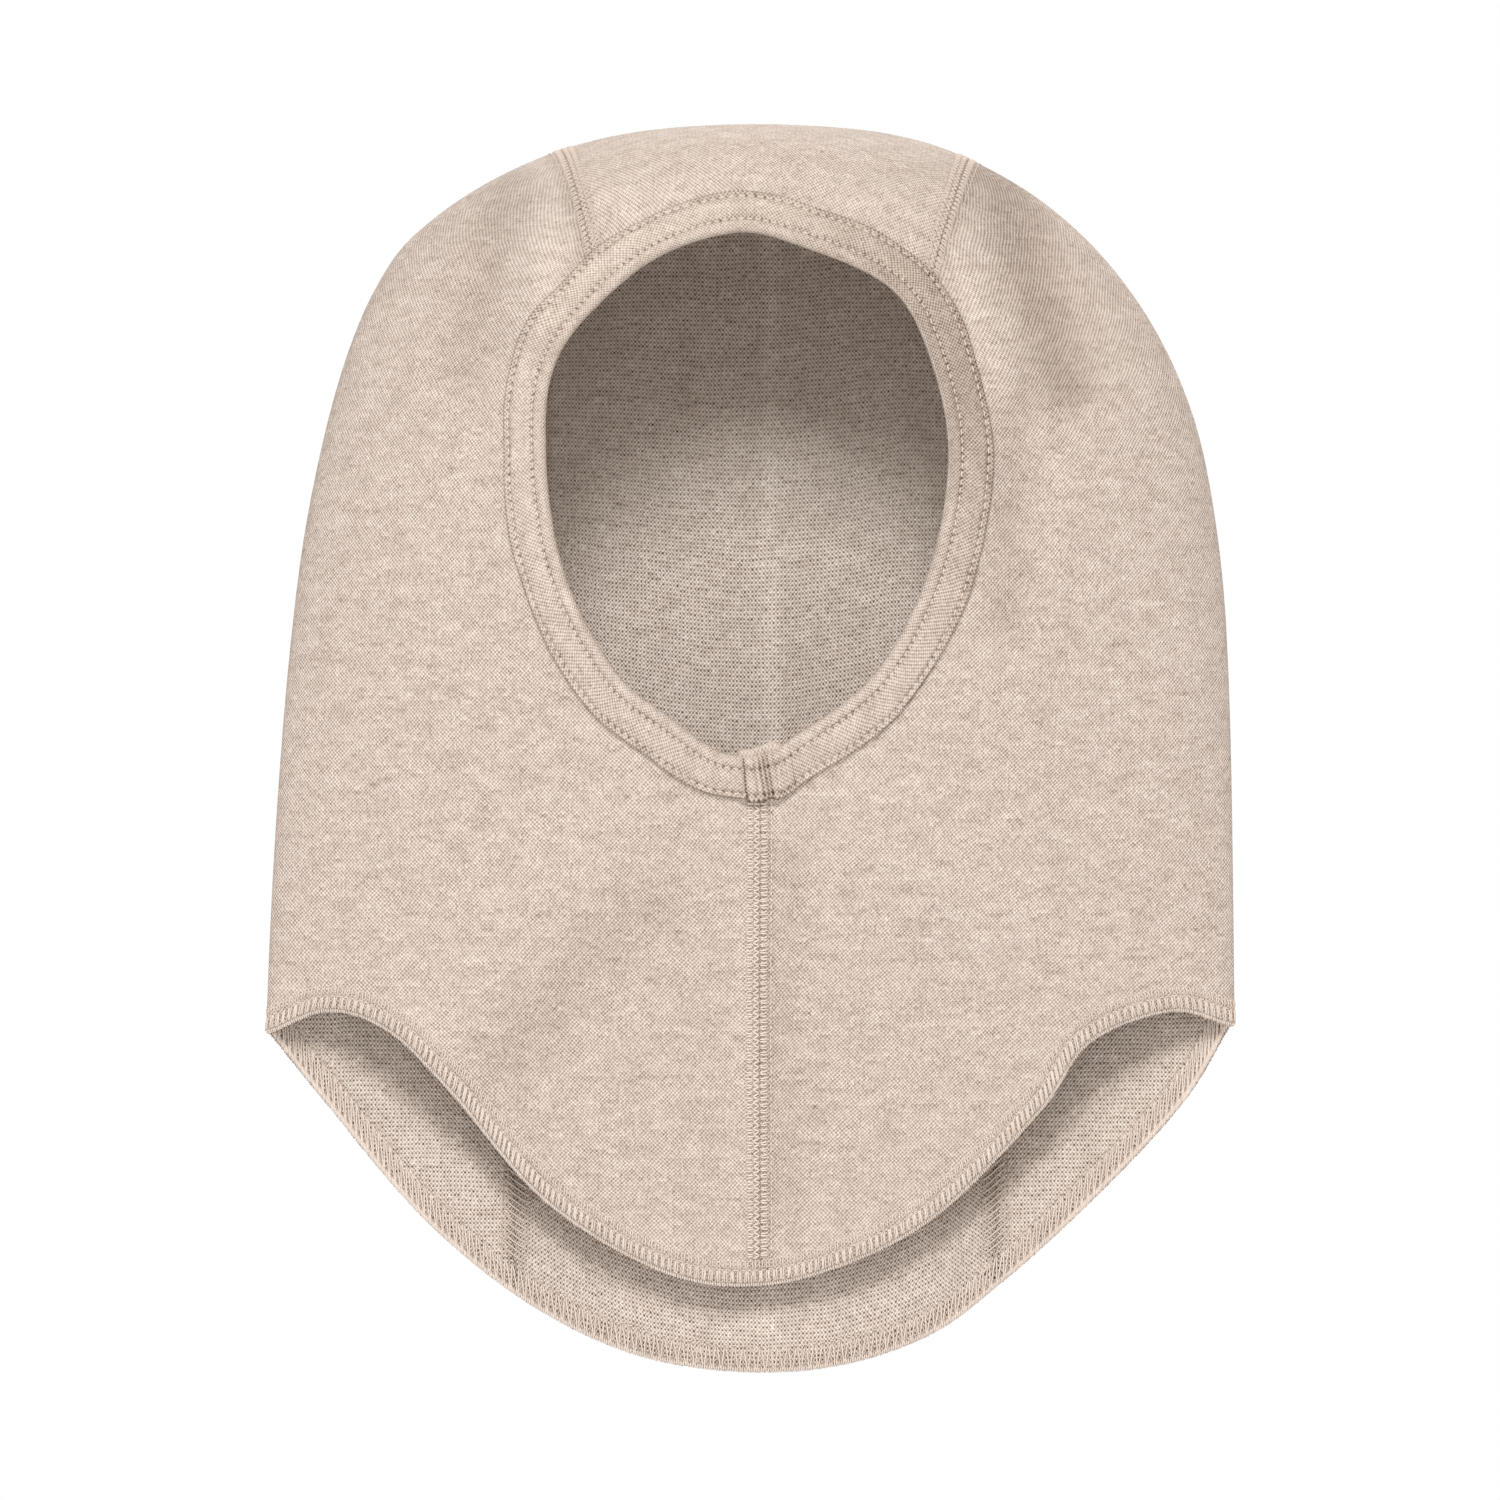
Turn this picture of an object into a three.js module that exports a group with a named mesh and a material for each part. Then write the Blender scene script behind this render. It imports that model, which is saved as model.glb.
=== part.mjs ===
// A child's knitted balaclava, in millimetres, +Z up, face opening towards -Y, +X to the wearer's left.
// The origin is in the middle of the head space, level with the middle of the face opening.
// Two side panels meet at the centre front and carry a long centre panel that runs from the brow over the
// crown to the nape. Thread joins the panels edge to edge, a folded binding closes the face edge and an
// overlock thread closes the neck edge.
import * as THREE from "three";

// Overall sizes.
const HALF_WIDTH = 119.6; // half of the widest stretch, above the shoulder arches
const CROWN = 91.8; // top of the hood above the origin
const SHOULDER_DROP = 225; // crown to the corners where front and back neck edges meet
const FRONT_DROP = 287.8; // crown to the lowest point of the front neck edge
const BACK_DROP = 309.4; // crown to the lowest point of the back neck edge
const FRONT_DEPTH = 53; // how far the front stands forward of the origin
const BACK_DEPTH = 36; // how far the back stands behind it

// Face opening, measured at the rolled edge of the binding.
const OPENING_WIDTH = 99;
const OPENING_HEIGHT = 128.5;
const OPENING_TOP = 27.3; // crown to the opening's highest point
const OPENING_X = -2.1; // middle of the opening, a little to one side

// Fabric, binding and thread.
const FABRIC = 1.4;
const BINDING_WIDTH = 10;
const BINDING_LAYER = 0.9;
const CLEARANCE = 0.3;
const THREAD = 0.45; // how far a thread stands off the cloth
const NEEDLE_LINE = 0.8; // width of one row of needle thread
const NEEDLE_GAUGE = 5.8; // between the two needle rows of the binding
const NEEDLE_INSET = 3; // rolled edge to the first needle row
const SEAM_WIDTH = 6;
const SEAM_WEB = 0.3; // thread that passes between two panel edges
const HEM_WIDTH = 7.2;
const HEM_NEEDLE_GAP = 0.7; // between the neck overlock and its needle row
const JOIN_LEFT = 4.2; // the binding's sewn join, each way from the centre front seam
const JOIN_RIGHT = 8.2;
const JOIN_TAB = 2; // how far the join's seam allowance stands into the opening

// Where the three seams run, as x at the face edge, over the crown and at the neck edge.
const CENTRE_FRONT_X = 1.7;
const CROWN_SEAM_X = { left: [-40, -48.5, -60], right: [43.5, 53, 60] };
const CROWN_SEAM_TURN = 0.3; // share of the seam's length at which it passes over the crown

// Steps of the surface grid.
const ROWS = 12;
const ROW_CROWDING = 1.35; // above 1, rows lie closer together near the face and over the crown
const SIDE_COLUMNS = 21;
const CENTRE_COLUMNS = 9;
const OUTLINE_SAMPLES = 220;

// Half widths and depths down the hood, as shares of the sizes above, against s = sqrt(drop / SHOULDER_DROP).
const WIDTH_RIGHT = [
  [0, 0], [0.1, 0.27], [0.233, 0.502], [0.353, 0.68], [0.464, 0.814], [0.561, 0.9], [0.643, 0.943],
  [0.74, 0.971], [0.9, 0.985], [1.2, 0.992], [1.5, 0.99],
];
const WIDTH_LEFT = [
  [0, 0], [0.1, 0.263], [0.233, 0.517], [0.353, 0.709], [0.42, 0.779], [0.5, 0.839], [0.6, 0.896],
  [0.7, 0.94], [0.85, 0.982], [1, 1.008], [1.2, 1.02], [1.5, 1.02],
];
const DEPTH_FRONT = [
  [0, 0], [0.15, 0.49], [0.3, 0.774], [0.45, 0.943], [0.6, 1], [0.75, 0.89], [0.9, 0.62],
  [1, 0.385], [1.1, 0.19], [1.25, 0.09], [1.5, 0.07],
];
const DEPTH_BACK = [
  [0, 0], [0.15, 0.556], [0.3, 0.833], [0.45, 0.972], [0.6, 1], [0.75, 0.92], [0.9, 0.68],
  [1, 0.44], [1.1, 0.24], [1.25, 0.12], [1.5, 0.1],
];
const FOLD_SHARPNESS = 0.35; // 0 gives elliptic level sections, more pinches them at the side folds

// Outlines seen from the front: x in half widths, z in shares of the opening's height or of the drops.
const FACE_OUTLINE = [
  [-0.083, 0], [-0.53, 0.068], [-0.93, 0.232], [-1, 0.415], [-0.91, 0.647], [-0.65, 0.84], [-0.371, 0.93],
  [-0.181, 0.983], [-0.04, 1], [0.09, 0.995], [0.22, 0.967], [0.62, 0.849], [0.895, 0.656], [1, 0.434],
  [0.92, 0.251], [0.72, 0.107], [0.27, 0.025],
];
const FRONT_NECK = [
  [-1.006, 0], [-0.88, -0.088], [-0.757, -0.008], [-0.632, 0.229], [-0.436, 0.663], [-0.197, 0.94], [0, 1],
  [0.197, 0.908], [0.384, 0.71], [0.591, 0.307], [0.695, 0.032], [0.86, -0.088], [0.985, -0.029],
];
const BACK_NECK = [
  [0.985, -0.022], [0.891, 0.199], [0.72, 0.464], [0.518, 0.729], [0.34, 0.906], [0.094, 0.996],
  [-0.197, 0.968], [-0.448, 0.817], [-0.684, 0.552], [-0.895, 0.199], [-1.006, 0],
];

// The hood is a sphere's skin reshaped: the sphere's height gives the drop below the crown, and its level
// circles become the level sections. FULL_DROP is where the skin would close below the neck.
const FULL_DROP = 1.39 * BACK_DROP;
const FACE_SHIFT = 0.3; // moves the map's first pole from the sphere's front to the middle of the face opening

function profile(table) {
  // Cubic curve through the table's points.
  const slopes = table.map((_, i) => {
    const a = table[Math.max(i - 1, 0)];
    const b = table[Math.min(i + 1, table.length - 1)];
    return (b[1] - a[1]) / (b[0] - a[0]);
  });
  return (s) => {
    let i = 0;
    while (i < table.length - 2 && s > table[i + 1][0]) i++;
    const h = table[i + 1][0] - table[i][0];
    const t = (s - table[i][0]) / h;
    const rise = table[i][1] + t * t * (3 - 2 * t) * (table[i + 1][1] - table[i][1]);
    return rise + h * t * (1 - t) * (slopes[i] * (1 - t) - slopes[i + 1] * t);
  };
}

const widthRight = profile(WIDTH_RIGHT);
const widthLeft = profile(WIDTH_LEFT);
const depthFront = profile(DEPTH_FRONT);
const depthBack = profile(DEPTH_BACK);

function section(z) {
  // Middle and half width of the level section at height z, and its shape parameter s.
  const s = Math.sqrt(Math.max(CROWN - z, 0) / SHOULDER_DROP);
  const right = HALF_WIDTH * widthRight(s);
  const left = HALF_WIDTH * widthLeft(s);
  return { s, middle: (right - left) / 2, half: (right + left) / 2 };
}

function skin(around, out) {
  // Point of the hood. `around` is the angle about the face opening, 0 at its right, and `out` grows from
  // the face towards the neck. Both come from q = exp(out + i around), a plane picture of the sphere that
  // has one pole at the face and the other at the neck.
  const e = Math.exp(out);
  const qr = e * Math.sin(around);
  const qi = -e * Math.cos(around);
  const d = (1 - qr) ** 2 + qi ** 2;
  const m = (FACE_SHIFT + qr) ** 2 + qi ** 2;
  const dx = (-2 * qi * (FACE_SHIFT + 1)) / (d + m);
  const dy = (m - d) / (m + d);
  const dz = (2 * ((FACE_SHIFT + qr) * (1 - qr) - qi * qi)) / (d + m);
  const z = CROWN - ((1 - dz) * FULL_DROP) / 2;
  const level = Math.sqrt(Math.max(1 - dz * dz, 1e-12));
  const { s, middle, half } = section(z);
  const across = dx / level;
  const depth = dy < 0 ? FRONT_DEPTH * depthFront(s) : BACK_DEPTH * depthBack(s);
  const pinch = 1 - FOLD_SHARPNESS * across * across;
  return new THREE.Vector3(middle + half * across, depth * (dy / level) * pinch, z);
}

function placeOf(x, z, facing) {
  // The inverse of skin for a point seen from the front (facing -1) or from behind (facing 1).
  const { middle, half } = section(z);
  const across = THREE.MathUtils.clamp((x - middle) / half, -1, 1);
  const dz = 1 - (2 * (CROWN - z)) / FULL_DROP;
  const level = Math.sqrt(1 - dz * dz);
  const dx = across * level;
  const dy = facing * level * Math.sqrt(1 - across * across);
  const top = { re: dx, im: dz - FACE_SHIFT * (1 - dy) };
  const low = { re: dx, im: dz + (1 - dy) };
  const around = Math.atan2(top.im, top.re) - Math.atan2(low.im, low.re) + Math.PI / 2;
  return { around, out: Math.log(Math.hypot(top.re, top.im) / Math.hypot(low.re, low.im)) };
}

const TURN = 2 * Math.PI;
const FRONT_ANGLE = placeOf(CENTRE_FRONT_X, CROWN - (OPENING_TOP + OPENING_HEIGHT), -1).around;
const fromFront = (around) => THREE.MathUtils.euclideanModulo(around - FRONT_ANGLE, TURN);

function edge(runs) {
  // How far out an edge lies at each angle, from outlines drawn in the front view.
  const samples = runs.flatMap(({ points, facing }) =>
    new THREE.SplineCurve(points).getPoints(OUTLINE_SAMPLES).map((p) => {
      const { around, out } = placeOf(p.x, p.y, facing);
      return [fromFront(around), out];
    }),
  );
  samples.sort((a, b) => a[0] - b[0]);
  const first = samples[0];
  const last = samples[samples.length - 1];
  samples.unshift([last[0] - TURN, last[1]]);
  samples.push([first[0] + TURN, first[1]]);
  return (around) => {
    const angle = fromFront(around);
    let low = 0;
    let high = samples.length - 1;
    while (high - low > 1) {
      const middle = (low + high) >> 1;
      if (samples[middle][0] <= angle) low = middle;
      else high = middle;
    }
    const t = (angle - samples[low][0]) / Math.max(samples[high][0] - samples[low][0], 1e-9);
    return THREE.MathUtils.lerp(samples[low][1], samples[high][1], t);
  };
}

const facePoints = FACE_OUTLINE.map(([x, z]) => {
  const across = OPENING_X + (x * OPENING_WIDTH) / 2;
  return new THREE.Vector2(across, CROWN - OPENING_TOP - z * OPENING_HEIGHT);
});
const neckPoints = (outline, lowest) =>
  outline.map(([x, z]) => {
    const drop = THREE.MathUtils.lerp(SHOULDER_DROP, lowest, z);
    return new THREE.Vector2(x * HALF_WIDTH, CROWN - drop);
  });
const faceEdge = edge([{ points: [...facePoints, facePoints[0]], facing: -1 }]);
const neckEdge = edge([
  { points: neckPoints(FRONT_NECK, FRONT_DROP), facing: -1 },
  { points: neckPoints(BACK_NECK, BACK_DROP), facing: 1 },
]);

const STEP = 1e-3;
const perOut = (around, out) => skin(around, out + STEP).distanceTo(skin(around, out - STEP)) / (2 * STEP);
const perAround = (around, out) => skin(around + STEP, out).distanceTo(skin(around - STEP, out)) / (2 * STEP);

function lifted(around, out, lift) {
  // A point at `lift` off the middle of the cloth, outwards when positive.
  const du = skin(around + STEP, out).sub(skin(around - STEP, out));
  const dv = skin(around, out + STEP).sub(skin(around, out - STEP));
  const normal = du.cross(dv).normalize();
  return skin(around, out).addScaledVector(normal, lift);
}

// Places measured in millimetres along the cloth from the face edge and from the neck edge.
const inFromFace = (around, mm) => faceEdge(around) + mm / perOut(around, faceEdge(around));
const inFromNeck = (around, mm) => neckEdge(around) - mm / perOut(around, neckEdge(around));

const RAW_FACE_EDGE = BINDING_LAYER + CLEARANCE; // the panels' cut edge inside the binding's fold
const RAW_NECK_EDGE = THREAD + CLEARANCE;

const rowShare = (row) => ((row - 1) / (ROWS - 2)) ** ROW_CROWDING;

function outAt(around, row) {
  // Rows 0 and 1 bound the binding, the last two bound the neck overlock, and the rest share the space.
  if (row === 0) return inFromFace(around, RAW_FACE_EDGE);
  if (row === ROWS) return inFromNeck(around, RAW_NECK_EDGE);
  const face = inFromFace(around, BINDING_WIDTH);
  return THREE.MathUtils.lerp(face, inFromNeck(around, HEM_WIDTH), rowShare(row));
}

// Each seam's angle at a row. The end bands keep the angle that the seam has where they start.
const seamX = ([face, crown, neck]) => profile([[0, face], [CROWN_SEAM_TURN, crown], [1, neck]]);
const SEAM_REACH = 0.55 * Math.PI; // the crown seams lie within this angle of the top
const HALVINGS = 40;
const SEAM_X = { right: seamX(CROWN_SEAM_X.right), left: seamX(CROWN_SEAM_X.left) };

function seamAngle(seam, row) {
  if (seam === "front") return FRONT_ANGLE;
  if (seam === "full_turn") return FRONT_ANGLE + TURN;
  const level = THREE.MathUtils.clamp(row, 1, ROWS - 1);
  const target = SEAM_X[seam](rowShare(level));
  let middle = FRONT_ANGLE + Math.PI;
  let side = middle + (seam === "right" ? -SEAM_REACH : SEAM_REACH);
  for (let i = 0; i < HALVINGS; i++) {
    const tried = (middle + side) / 2;
    if (Math.abs(skin(tried, outAt(tried, level)).x) < Math.abs(target)) middle = tried;
    else side = tried;
  }
  return middle;
}

function sideways(around, row, mm) {
  // The angle `mm` along the cloth from `around`, measured on the row or on the end band's inner row.
  const level = THREE.MathUtils.clamp(row, 1, ROWS - 1);
  return around + mm / perAround(around, outAt(around, level));
}

const PANELS = {
  right_side_panel: { from: "front", to: "right", columns: SIDE_COLUMNS },
  centre_panel: { from: "right", to: "left", columns: CENTRE_COLUMNS },
  left_side_panel: { from: "left", to: "full_turn", columns: SIDE_COLUMNS },
};
const RAW_SEAM_EDGE = SEAM_WEB / 2 + CLEARANCE; // each panel's cut edge beside a seam's middle

function columnAngle({ from, to, columns }, column, row) {
  // The end columns are the cut edges, their neighbours bound the seam threads, the rest share the space.
  const start = seamAngle(from, row);
  const stop = seamAngle(to, row);
  if (column === 0) return sideways(start, row, RAW_SEAM_EDGE);
  if (column === columns) return sideways(stop, row, -RAW_SEAM_EDGE);
  const first = sideways(start, row, SEAM_WIDTH / 2);
  return THREE.MathUtils.lerp(first, sideways(stop, row, -SEAM_WIDTH / 2), (column - 1) / (columns - 2));
}

function loft(rings, cap) {
  // A closed solid through loops of points, with its faces turned out. `cap` holds the triangles that close
  // each end, and without it the last loop joins the first.
  const n = rings[0].length;
  const spans = cap ? rings.length - 1 : rings.length;
  const faces = [];
  for (let i = 0; i < spans; i++) {
    const a = i * n;
    const b = ((i + 1) % rings.length) * n;
    for (let k = 0; k < n; k++) {
      const l = (k + 1) % n;
      faces.push(a + k, a + l, b + l, a + k, b + l, b + k);
    }
  }
  const last = (rings.length - 1) * n;
  for (const [p, q, r] of cap ?? []) faces.push(r, q, p, last + p, last + q, last + r);
  const points = rings.flat();
  let volume = 0;
  for (let i = 0; i < faces.length; i += 3) {
    const [p, q, r] = faces.slice(i, i + 3).map((k) => points[k]);
    volume += p.dot(q.clone().cross(r));
  }
  if (volume < 0) faces.reverse();
  const geometry = new THREE.BufferGeometry();
  const numbers = points.flatMap((p) => p.toArray());
  geometry.setAttribute("position", new THREE.Float32BufferAttribute(numbers, 3));
  geometry.setIndex(faces);
  geometry.computeVertexNormals();
  return geometry;
}

const UNDER = FABRIC / 2 + CLEARANCE; // middle of the cloth to whatever lies on its face

// Sections, as [mm along the cloth, mm off its middle].
const slab = (left, right, low, high) => [[left, low], [right, low], [right, high], [left, high]];

function foldSection(width, layer, clearance, tab) {
  // A U round a cut edge at 0: two leaves and a rolled fold, which a tab lengthens.
  const outer = UNDER + layer;
  const fold = -(clearance + layer + tab);
  const inside = [[width, -UNDER], [0, -UNDER], [-clearance, -FABRIC / 2], [-clearance, FABRIC / 2], [0, UNDER]];
  const outside = [[width, outer], [-tab, outer], [fold, FABRIC / 2], [fold, -FABRIC / 2], [-tab, -outer]];
  return [...inside, [width, UNDER], ...outside, [width, -outer]];
}

function ladderSection() {
  // Thread ladders on both faces of the cloth, joined through the gap between two panels.
  const far = SEAM_WIDTH / 2;
  const web = SEAM_WEB / 2;
  const top = UNDER + THREAD;
  const left = [[-far, top], [-far, UNDER], [-web, UNDER], [-web, -UNDER], [-far, -UNDER], [-far, -top]];
  const right = [[far, -top], [far, -UNDER], [web, -UNDER], [web, UNDER], [far, UNDER], [far, top]];
  return [...left, ...right];
}

function capOf(section) {
  // Triangles that fill a section, wound the way its points run.
  const points = section.map(([x, y]) => new THREE.Vector2(x, y));
  const triangles = THREE.ShapeUtils.triangulateShape(points, []);
  return THREE.ShapeUtils.isClockWise(points) ? triangles.map((t) => t.reverse()) : triangles;
}

function panel(shape) {
  const rings = [];
  for (let row = 0; row <= ROWS; row++) {
    const ring = [];
    for (let column = 0; column <= shape.columns; column++) {
      const around = columnAngle(shape, column, row);
      const out = outAt(around, row);
      ring.push(lifted(around, out, FABRIC / 2));
      ring.unshift(lifted(around, out, -FABRIC / 2));
    }
    rings.push(ring);
  }
  const cap = [];
  const n = rings[0].length;
  for (let k = 0; k < shape.columns; k++) {
    cap.push([k, k + 1, n - 2 - k], [k, n - 2 - k, n - 1 - k]);
  }
  return loft(rings, cap);
}

const stations = (row) =>
  Object.values(PANELS).flatMap((shape) =>
    Array.from({ length: shape.columns + 1 }, (_, column) => columnAngle(shape, column, row)),
  );

// Loops of points at one angle of the face edge or neck edge. Sections start at the panels' cut edge.
const faceRing = (shape) => (around) =>
  shape.map(([mm, lift]) => lifted(around, inFromFace(around, RAW_FACE_EDGE + mm), lift));
const neckRing = (shape) => (around) =>
  shape.map(([mm, lift]) => lifted(around, inFromNeck(around, RAW_NECK_EDGE + mm), lift));

function seam(name) {
  // Thread along a seam, from the binding to the neck overlock and clear of both.
  const rings = [];
  for (let row = 1; row < ROWS; row++) {
    const middle = seamAngle(name, row);
    const points = ladderSection().map(([mm, lift]) => {
      const around = sideways(middle, row, mm);
      return lifted(around, outAt(around, row), lift);
    });
    rings.push(points);
  }
  const shorten = (end, next) => end.forEach((p, k) => p.lerp(next[k], CLEARANCE / p.distanceTo(next[k])));
  shorten(rings[0], rings[1]);
  shorten(rings[rings.length - 1], rings[rings.length - 2]);
  return loft(rings, capOf(ladderSection()));
}

const hood = new THREE.Group();
const materials = {
  jersey: new THREE.MeshStandardMaterial({ color: 0xd0c0b3, roughness: 0.95 }),
  binding: new THREE.MeshStandardMaterial({ color: 0xcbbaac, roughness: 0.95 }),
  thread: new THREE.MeshStandardMaterial({ color: 0xd9cabd, roughness: 0.7 }),
};

function add(name, geometry, material) {
  const mesh = new THREE.Mesh(geometry, materials[material]);
  mesh.name = name;
  hood.add(mesh);
}

for (const [name, shape] of Object.entries(PANELS)) add(name, panel(shape), "jersey");

// The binding runs all the way round and ends on both sides of its join.
const bandWidth = BINDING_WIDTH - RAW_FACE_EDGE;
const joinEnds = [-JOIN_LEFT, JOIN_RIGHT].map((mm) => sideways(FRONT_ANGLE, 1, mm));
const joinGap = sideways(FRONT_ANGLE, 1, CLEARANCE / 2) - FRONT_ANGLE;
const bindingSection = foldSection(bandWidth, BINDING_LAYER, CLEARANCE, 0);
const bindingStart = joinEnds[1] + joinGap;
const bindingStop = joinEnds[0] + TURN - joinGap;
const faceStations = stations(1);
const bindingRun = faceStations.filter((around) => around > bindingStart && around < bindingStop);
const bindingRings = [bindingStart, ...bindingRun, bindingStop].map(faceRing(bindingSection));
add("face_binding", loft(bindingRings, capOf(bindingSection)), "binding");

const joinSection = foldSection(bandWidth, BINDING_LAYER, CLEARANCE, JOIN_TAB);
const joinInner = [joinEnds[0] + joinGap, joinEnds[1] - joinGap];
const joinRun = [...faceStations, ...faceStations.map((around) => around - TURN)]
  .filter((around) => around > joinInner[0] && around < joinInner[1])
  .sort((a, b) => a - b);
const joinRings = [joinInner[0], ...joinRun, joinInner[1]].map(faceRing(joinSection));
add("binding_join", loft(joinRings, capOf(joinSection)), "binding");

// Coverstitch: two needle rows on the face of the binding and one cover thread behind it.
const onBinding = UNDER + BINDING_LAYER + CLEARANCE;
const needleRow = (from) => slab(from, from + NEEDLE_LINE, onBinding, onBinding + THREAD);
const firstRow = NEEDLE_INSET - RAW_FACE_EDGE - NEEDLE_LINE / 2;
const coverThread = slab(firstRow, firstRow + NEEDLE_GAUGE + NEEDLE_LINE, -onBinding - THREAD, -onBinding);
const coverstitch = {
  binding_needle_thread_inner: needleRow(firstRow),
  binding_needle_thread_outer: needleRow(firstRow + NEEDLE_GAUGE),
  binding_looper_thread: coverThread,
};
for (const [name, points] of Object.entries(coverstitch)) {
  add(name, loft(faceStations.map(faceRing(points))), "thread");
}

// Flatlock ladders along the three seams.
const seamThreads = {
  centre_front_seam_thread: "front",
  right_crown_seam_thread: "right",
  left_crown_seam_thread: "left",
};
for (const [name, which] of Object.entries(seamThreads)) add(name, seam(which), "thread");

// Overlock round the neck edge, with its needle row above it.
const neckStations = stations(ROWS - 1).reverse(); // so that the facets lie along those of the panels
const overlockWidth = HEM_WIDTH - RAW_NECK_EDGE - NEEDLE_LINE - HEM_NEEDLE_GAP;
const overlock = foldSection(overlockWidth, THREAD, CLEARANCE, 0);
const hemNeedle = slab(overlockWidth + HEM_NEEDLE_GAP, HEM_WIDTH - RAW_NECK_EDGE, UNDER, UNDER + THREAD);
add("hem_overlock_thread", loft(neckStations.map(neckRing(overlock))), "thread");
add("hem_needle_thread", loft(neckStations.map(neckRing(hemNeedle))), "thread");

export default hood;
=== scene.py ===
"""A child's knitted balaclava: three jersey panels, a folded face binding and the threads that join them."""

import bpy
import numpy as np
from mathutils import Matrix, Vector


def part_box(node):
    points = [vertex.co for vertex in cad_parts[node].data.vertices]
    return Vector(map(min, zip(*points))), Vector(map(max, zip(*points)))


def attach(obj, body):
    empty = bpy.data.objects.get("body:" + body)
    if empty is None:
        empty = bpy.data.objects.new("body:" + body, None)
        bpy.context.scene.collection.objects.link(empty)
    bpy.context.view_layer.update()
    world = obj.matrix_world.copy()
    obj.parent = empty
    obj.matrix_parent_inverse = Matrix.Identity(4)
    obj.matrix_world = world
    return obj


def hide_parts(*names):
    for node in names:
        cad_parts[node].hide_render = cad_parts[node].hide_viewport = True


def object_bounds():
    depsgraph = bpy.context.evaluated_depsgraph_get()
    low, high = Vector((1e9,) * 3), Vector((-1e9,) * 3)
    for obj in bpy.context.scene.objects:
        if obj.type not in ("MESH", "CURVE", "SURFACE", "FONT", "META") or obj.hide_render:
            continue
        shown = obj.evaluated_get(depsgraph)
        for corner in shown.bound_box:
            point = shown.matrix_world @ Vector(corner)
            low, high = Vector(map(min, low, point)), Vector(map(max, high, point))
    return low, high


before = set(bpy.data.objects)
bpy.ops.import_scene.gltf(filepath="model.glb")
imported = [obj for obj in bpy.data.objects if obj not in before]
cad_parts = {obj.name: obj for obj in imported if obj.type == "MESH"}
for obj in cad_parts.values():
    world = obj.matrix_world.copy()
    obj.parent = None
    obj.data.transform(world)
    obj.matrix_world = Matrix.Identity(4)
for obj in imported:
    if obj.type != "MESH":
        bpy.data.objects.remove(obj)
cad_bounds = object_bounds()


# ---------------------------------------------------------------------------------------------------------
# The hood's cloth. One layer of heathered jersey, smooth side out and purl side in, drawn as a skin that
# every later piece is laid on. All lengths are metres.
# ---------------------------------------------------------------------------------------------------------
FABRIC = 0.0014  # thickness of the jersey
BINDING_WIDTH = 0.0100
HEM_WIDTH = 0.0072
EASE = 0.0002  # how far the cloth is drawn past its CAD sheet at the crown, and short of it at the hem
WIDTH_IN_HALVES = 2.02  # both sides at their widest, as shares of the half width, and the cloth's thickness
FRONT_SHORTER = 0.0216  # how much higher the front's lowest point hangs than the back's
FRONT_FULLNESS = 1.478  # depth of the front layer as a share of the back layer's
BINDING_PROUD_ACROSS, BINDING_PROUD_UP = 0.0016, 0.0009  # what the band's box has past its own outline

low, high = cad_bounds
centre_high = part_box("centre_panel")[1]
binding_low, binding_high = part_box("face_binding")
hem_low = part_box("hem_overlock_thread")[0]
seam_low, seam_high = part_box("centre_front_seam_thread")

CROWN = centre_high[2] - FABRIC / 2 + EASE
HALF_WIDTH = (high[0] - low[0]) / WIDTH_IN_HALVES
BACK_DROP = CROWN - hem_low[2] - EASE
FRONT_DROP = BACK_DROP - FRONT_SHORTER
SHOULDER_DROP = 0.225
BACK_DEPTH = centre_high[1] - FABRIC / 2
FRONT_DEPTH = FRONT_FULLNESS * BACK_DEPTH
OPENING_WIDTH = binding_high[0] - binding_low[0] - 2 * BINDING_WIDTH - BINDING_PROUD_ACROSS
OPENING_HEIGHT = binding_high[2] - binding_low[2] - 2 * BINDING_WIDTH - BINDING_PROUD_UP
OPENING_TOP = CROWN - binding_high[2] + BINDING_WIDTH
OPENING_X = (binding_high[0] + binding_low[0]) / 2
CENTRE_FRONT_X = (seam_high[0] + seam_low[0]) / 2


def curve(table):
    """Cubic through the (s, value) points of a table, each slope taken from the point's neighbours."""
    s, value = np.array(table, float).T
    ends = np.r_[0, np.arange(len(s) - 1)], np.r_[np.arange(1, len(s)), len(s) - 1]
    slope = (value[ends[1]] - value[ends[0]]) / (s[ends[1]] - s[ends[0]])

    def at(x):
        i = np.clip(np.searchsorted(s, x) - 1, 0, len(s) - 2)
        h = s[i + 1] - s[i]
        t = (x - s[i]) / h
        rise = value[i] + t * t * (3 - 2 * t) * (value[i + 1] - value[i])
        return rise + h * t * (1 - t) * (slope[i] * (1 - t) - slope[i + 1] * t)

    return at


# Half widths and depths as shares of the sizes above, against s = sqrt(drop / SHOULDER_DROP).
width_right = curve([
    (0, 0), (0.1, 0.27), (0.233, 0.502), (0.353, 0.68), (0.464, 0.814), (0.561, 0.9), (0.643, 0.943),
    (0.74, 0.971), (0.9, 0.985), (1.2, 0.992), (1.5, 0.99),
])
width_left = curve([
    (0, 0), (0.1, 0.263), (0.233, 0.517), (0.353, 0.709), (0.42, 0.779), (0.5, 0.839), (0.6, 0.896),
    (0.7, 0.94), (0.85, 0.982), (1, 1.008), (1.2, 1.02), (1.5, 1.02),
])
depth_front = curve([
    (0, 0), (0.15, 0.49), (0.3, 0.774), (0.45, 0.943), (0.6, 1), (0.75, 0.89), (0.9, 0.61),
    (1, 0.35), (1.1, 0.125), (1.25, 0.035), (1.5, 0.03),
])
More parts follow.
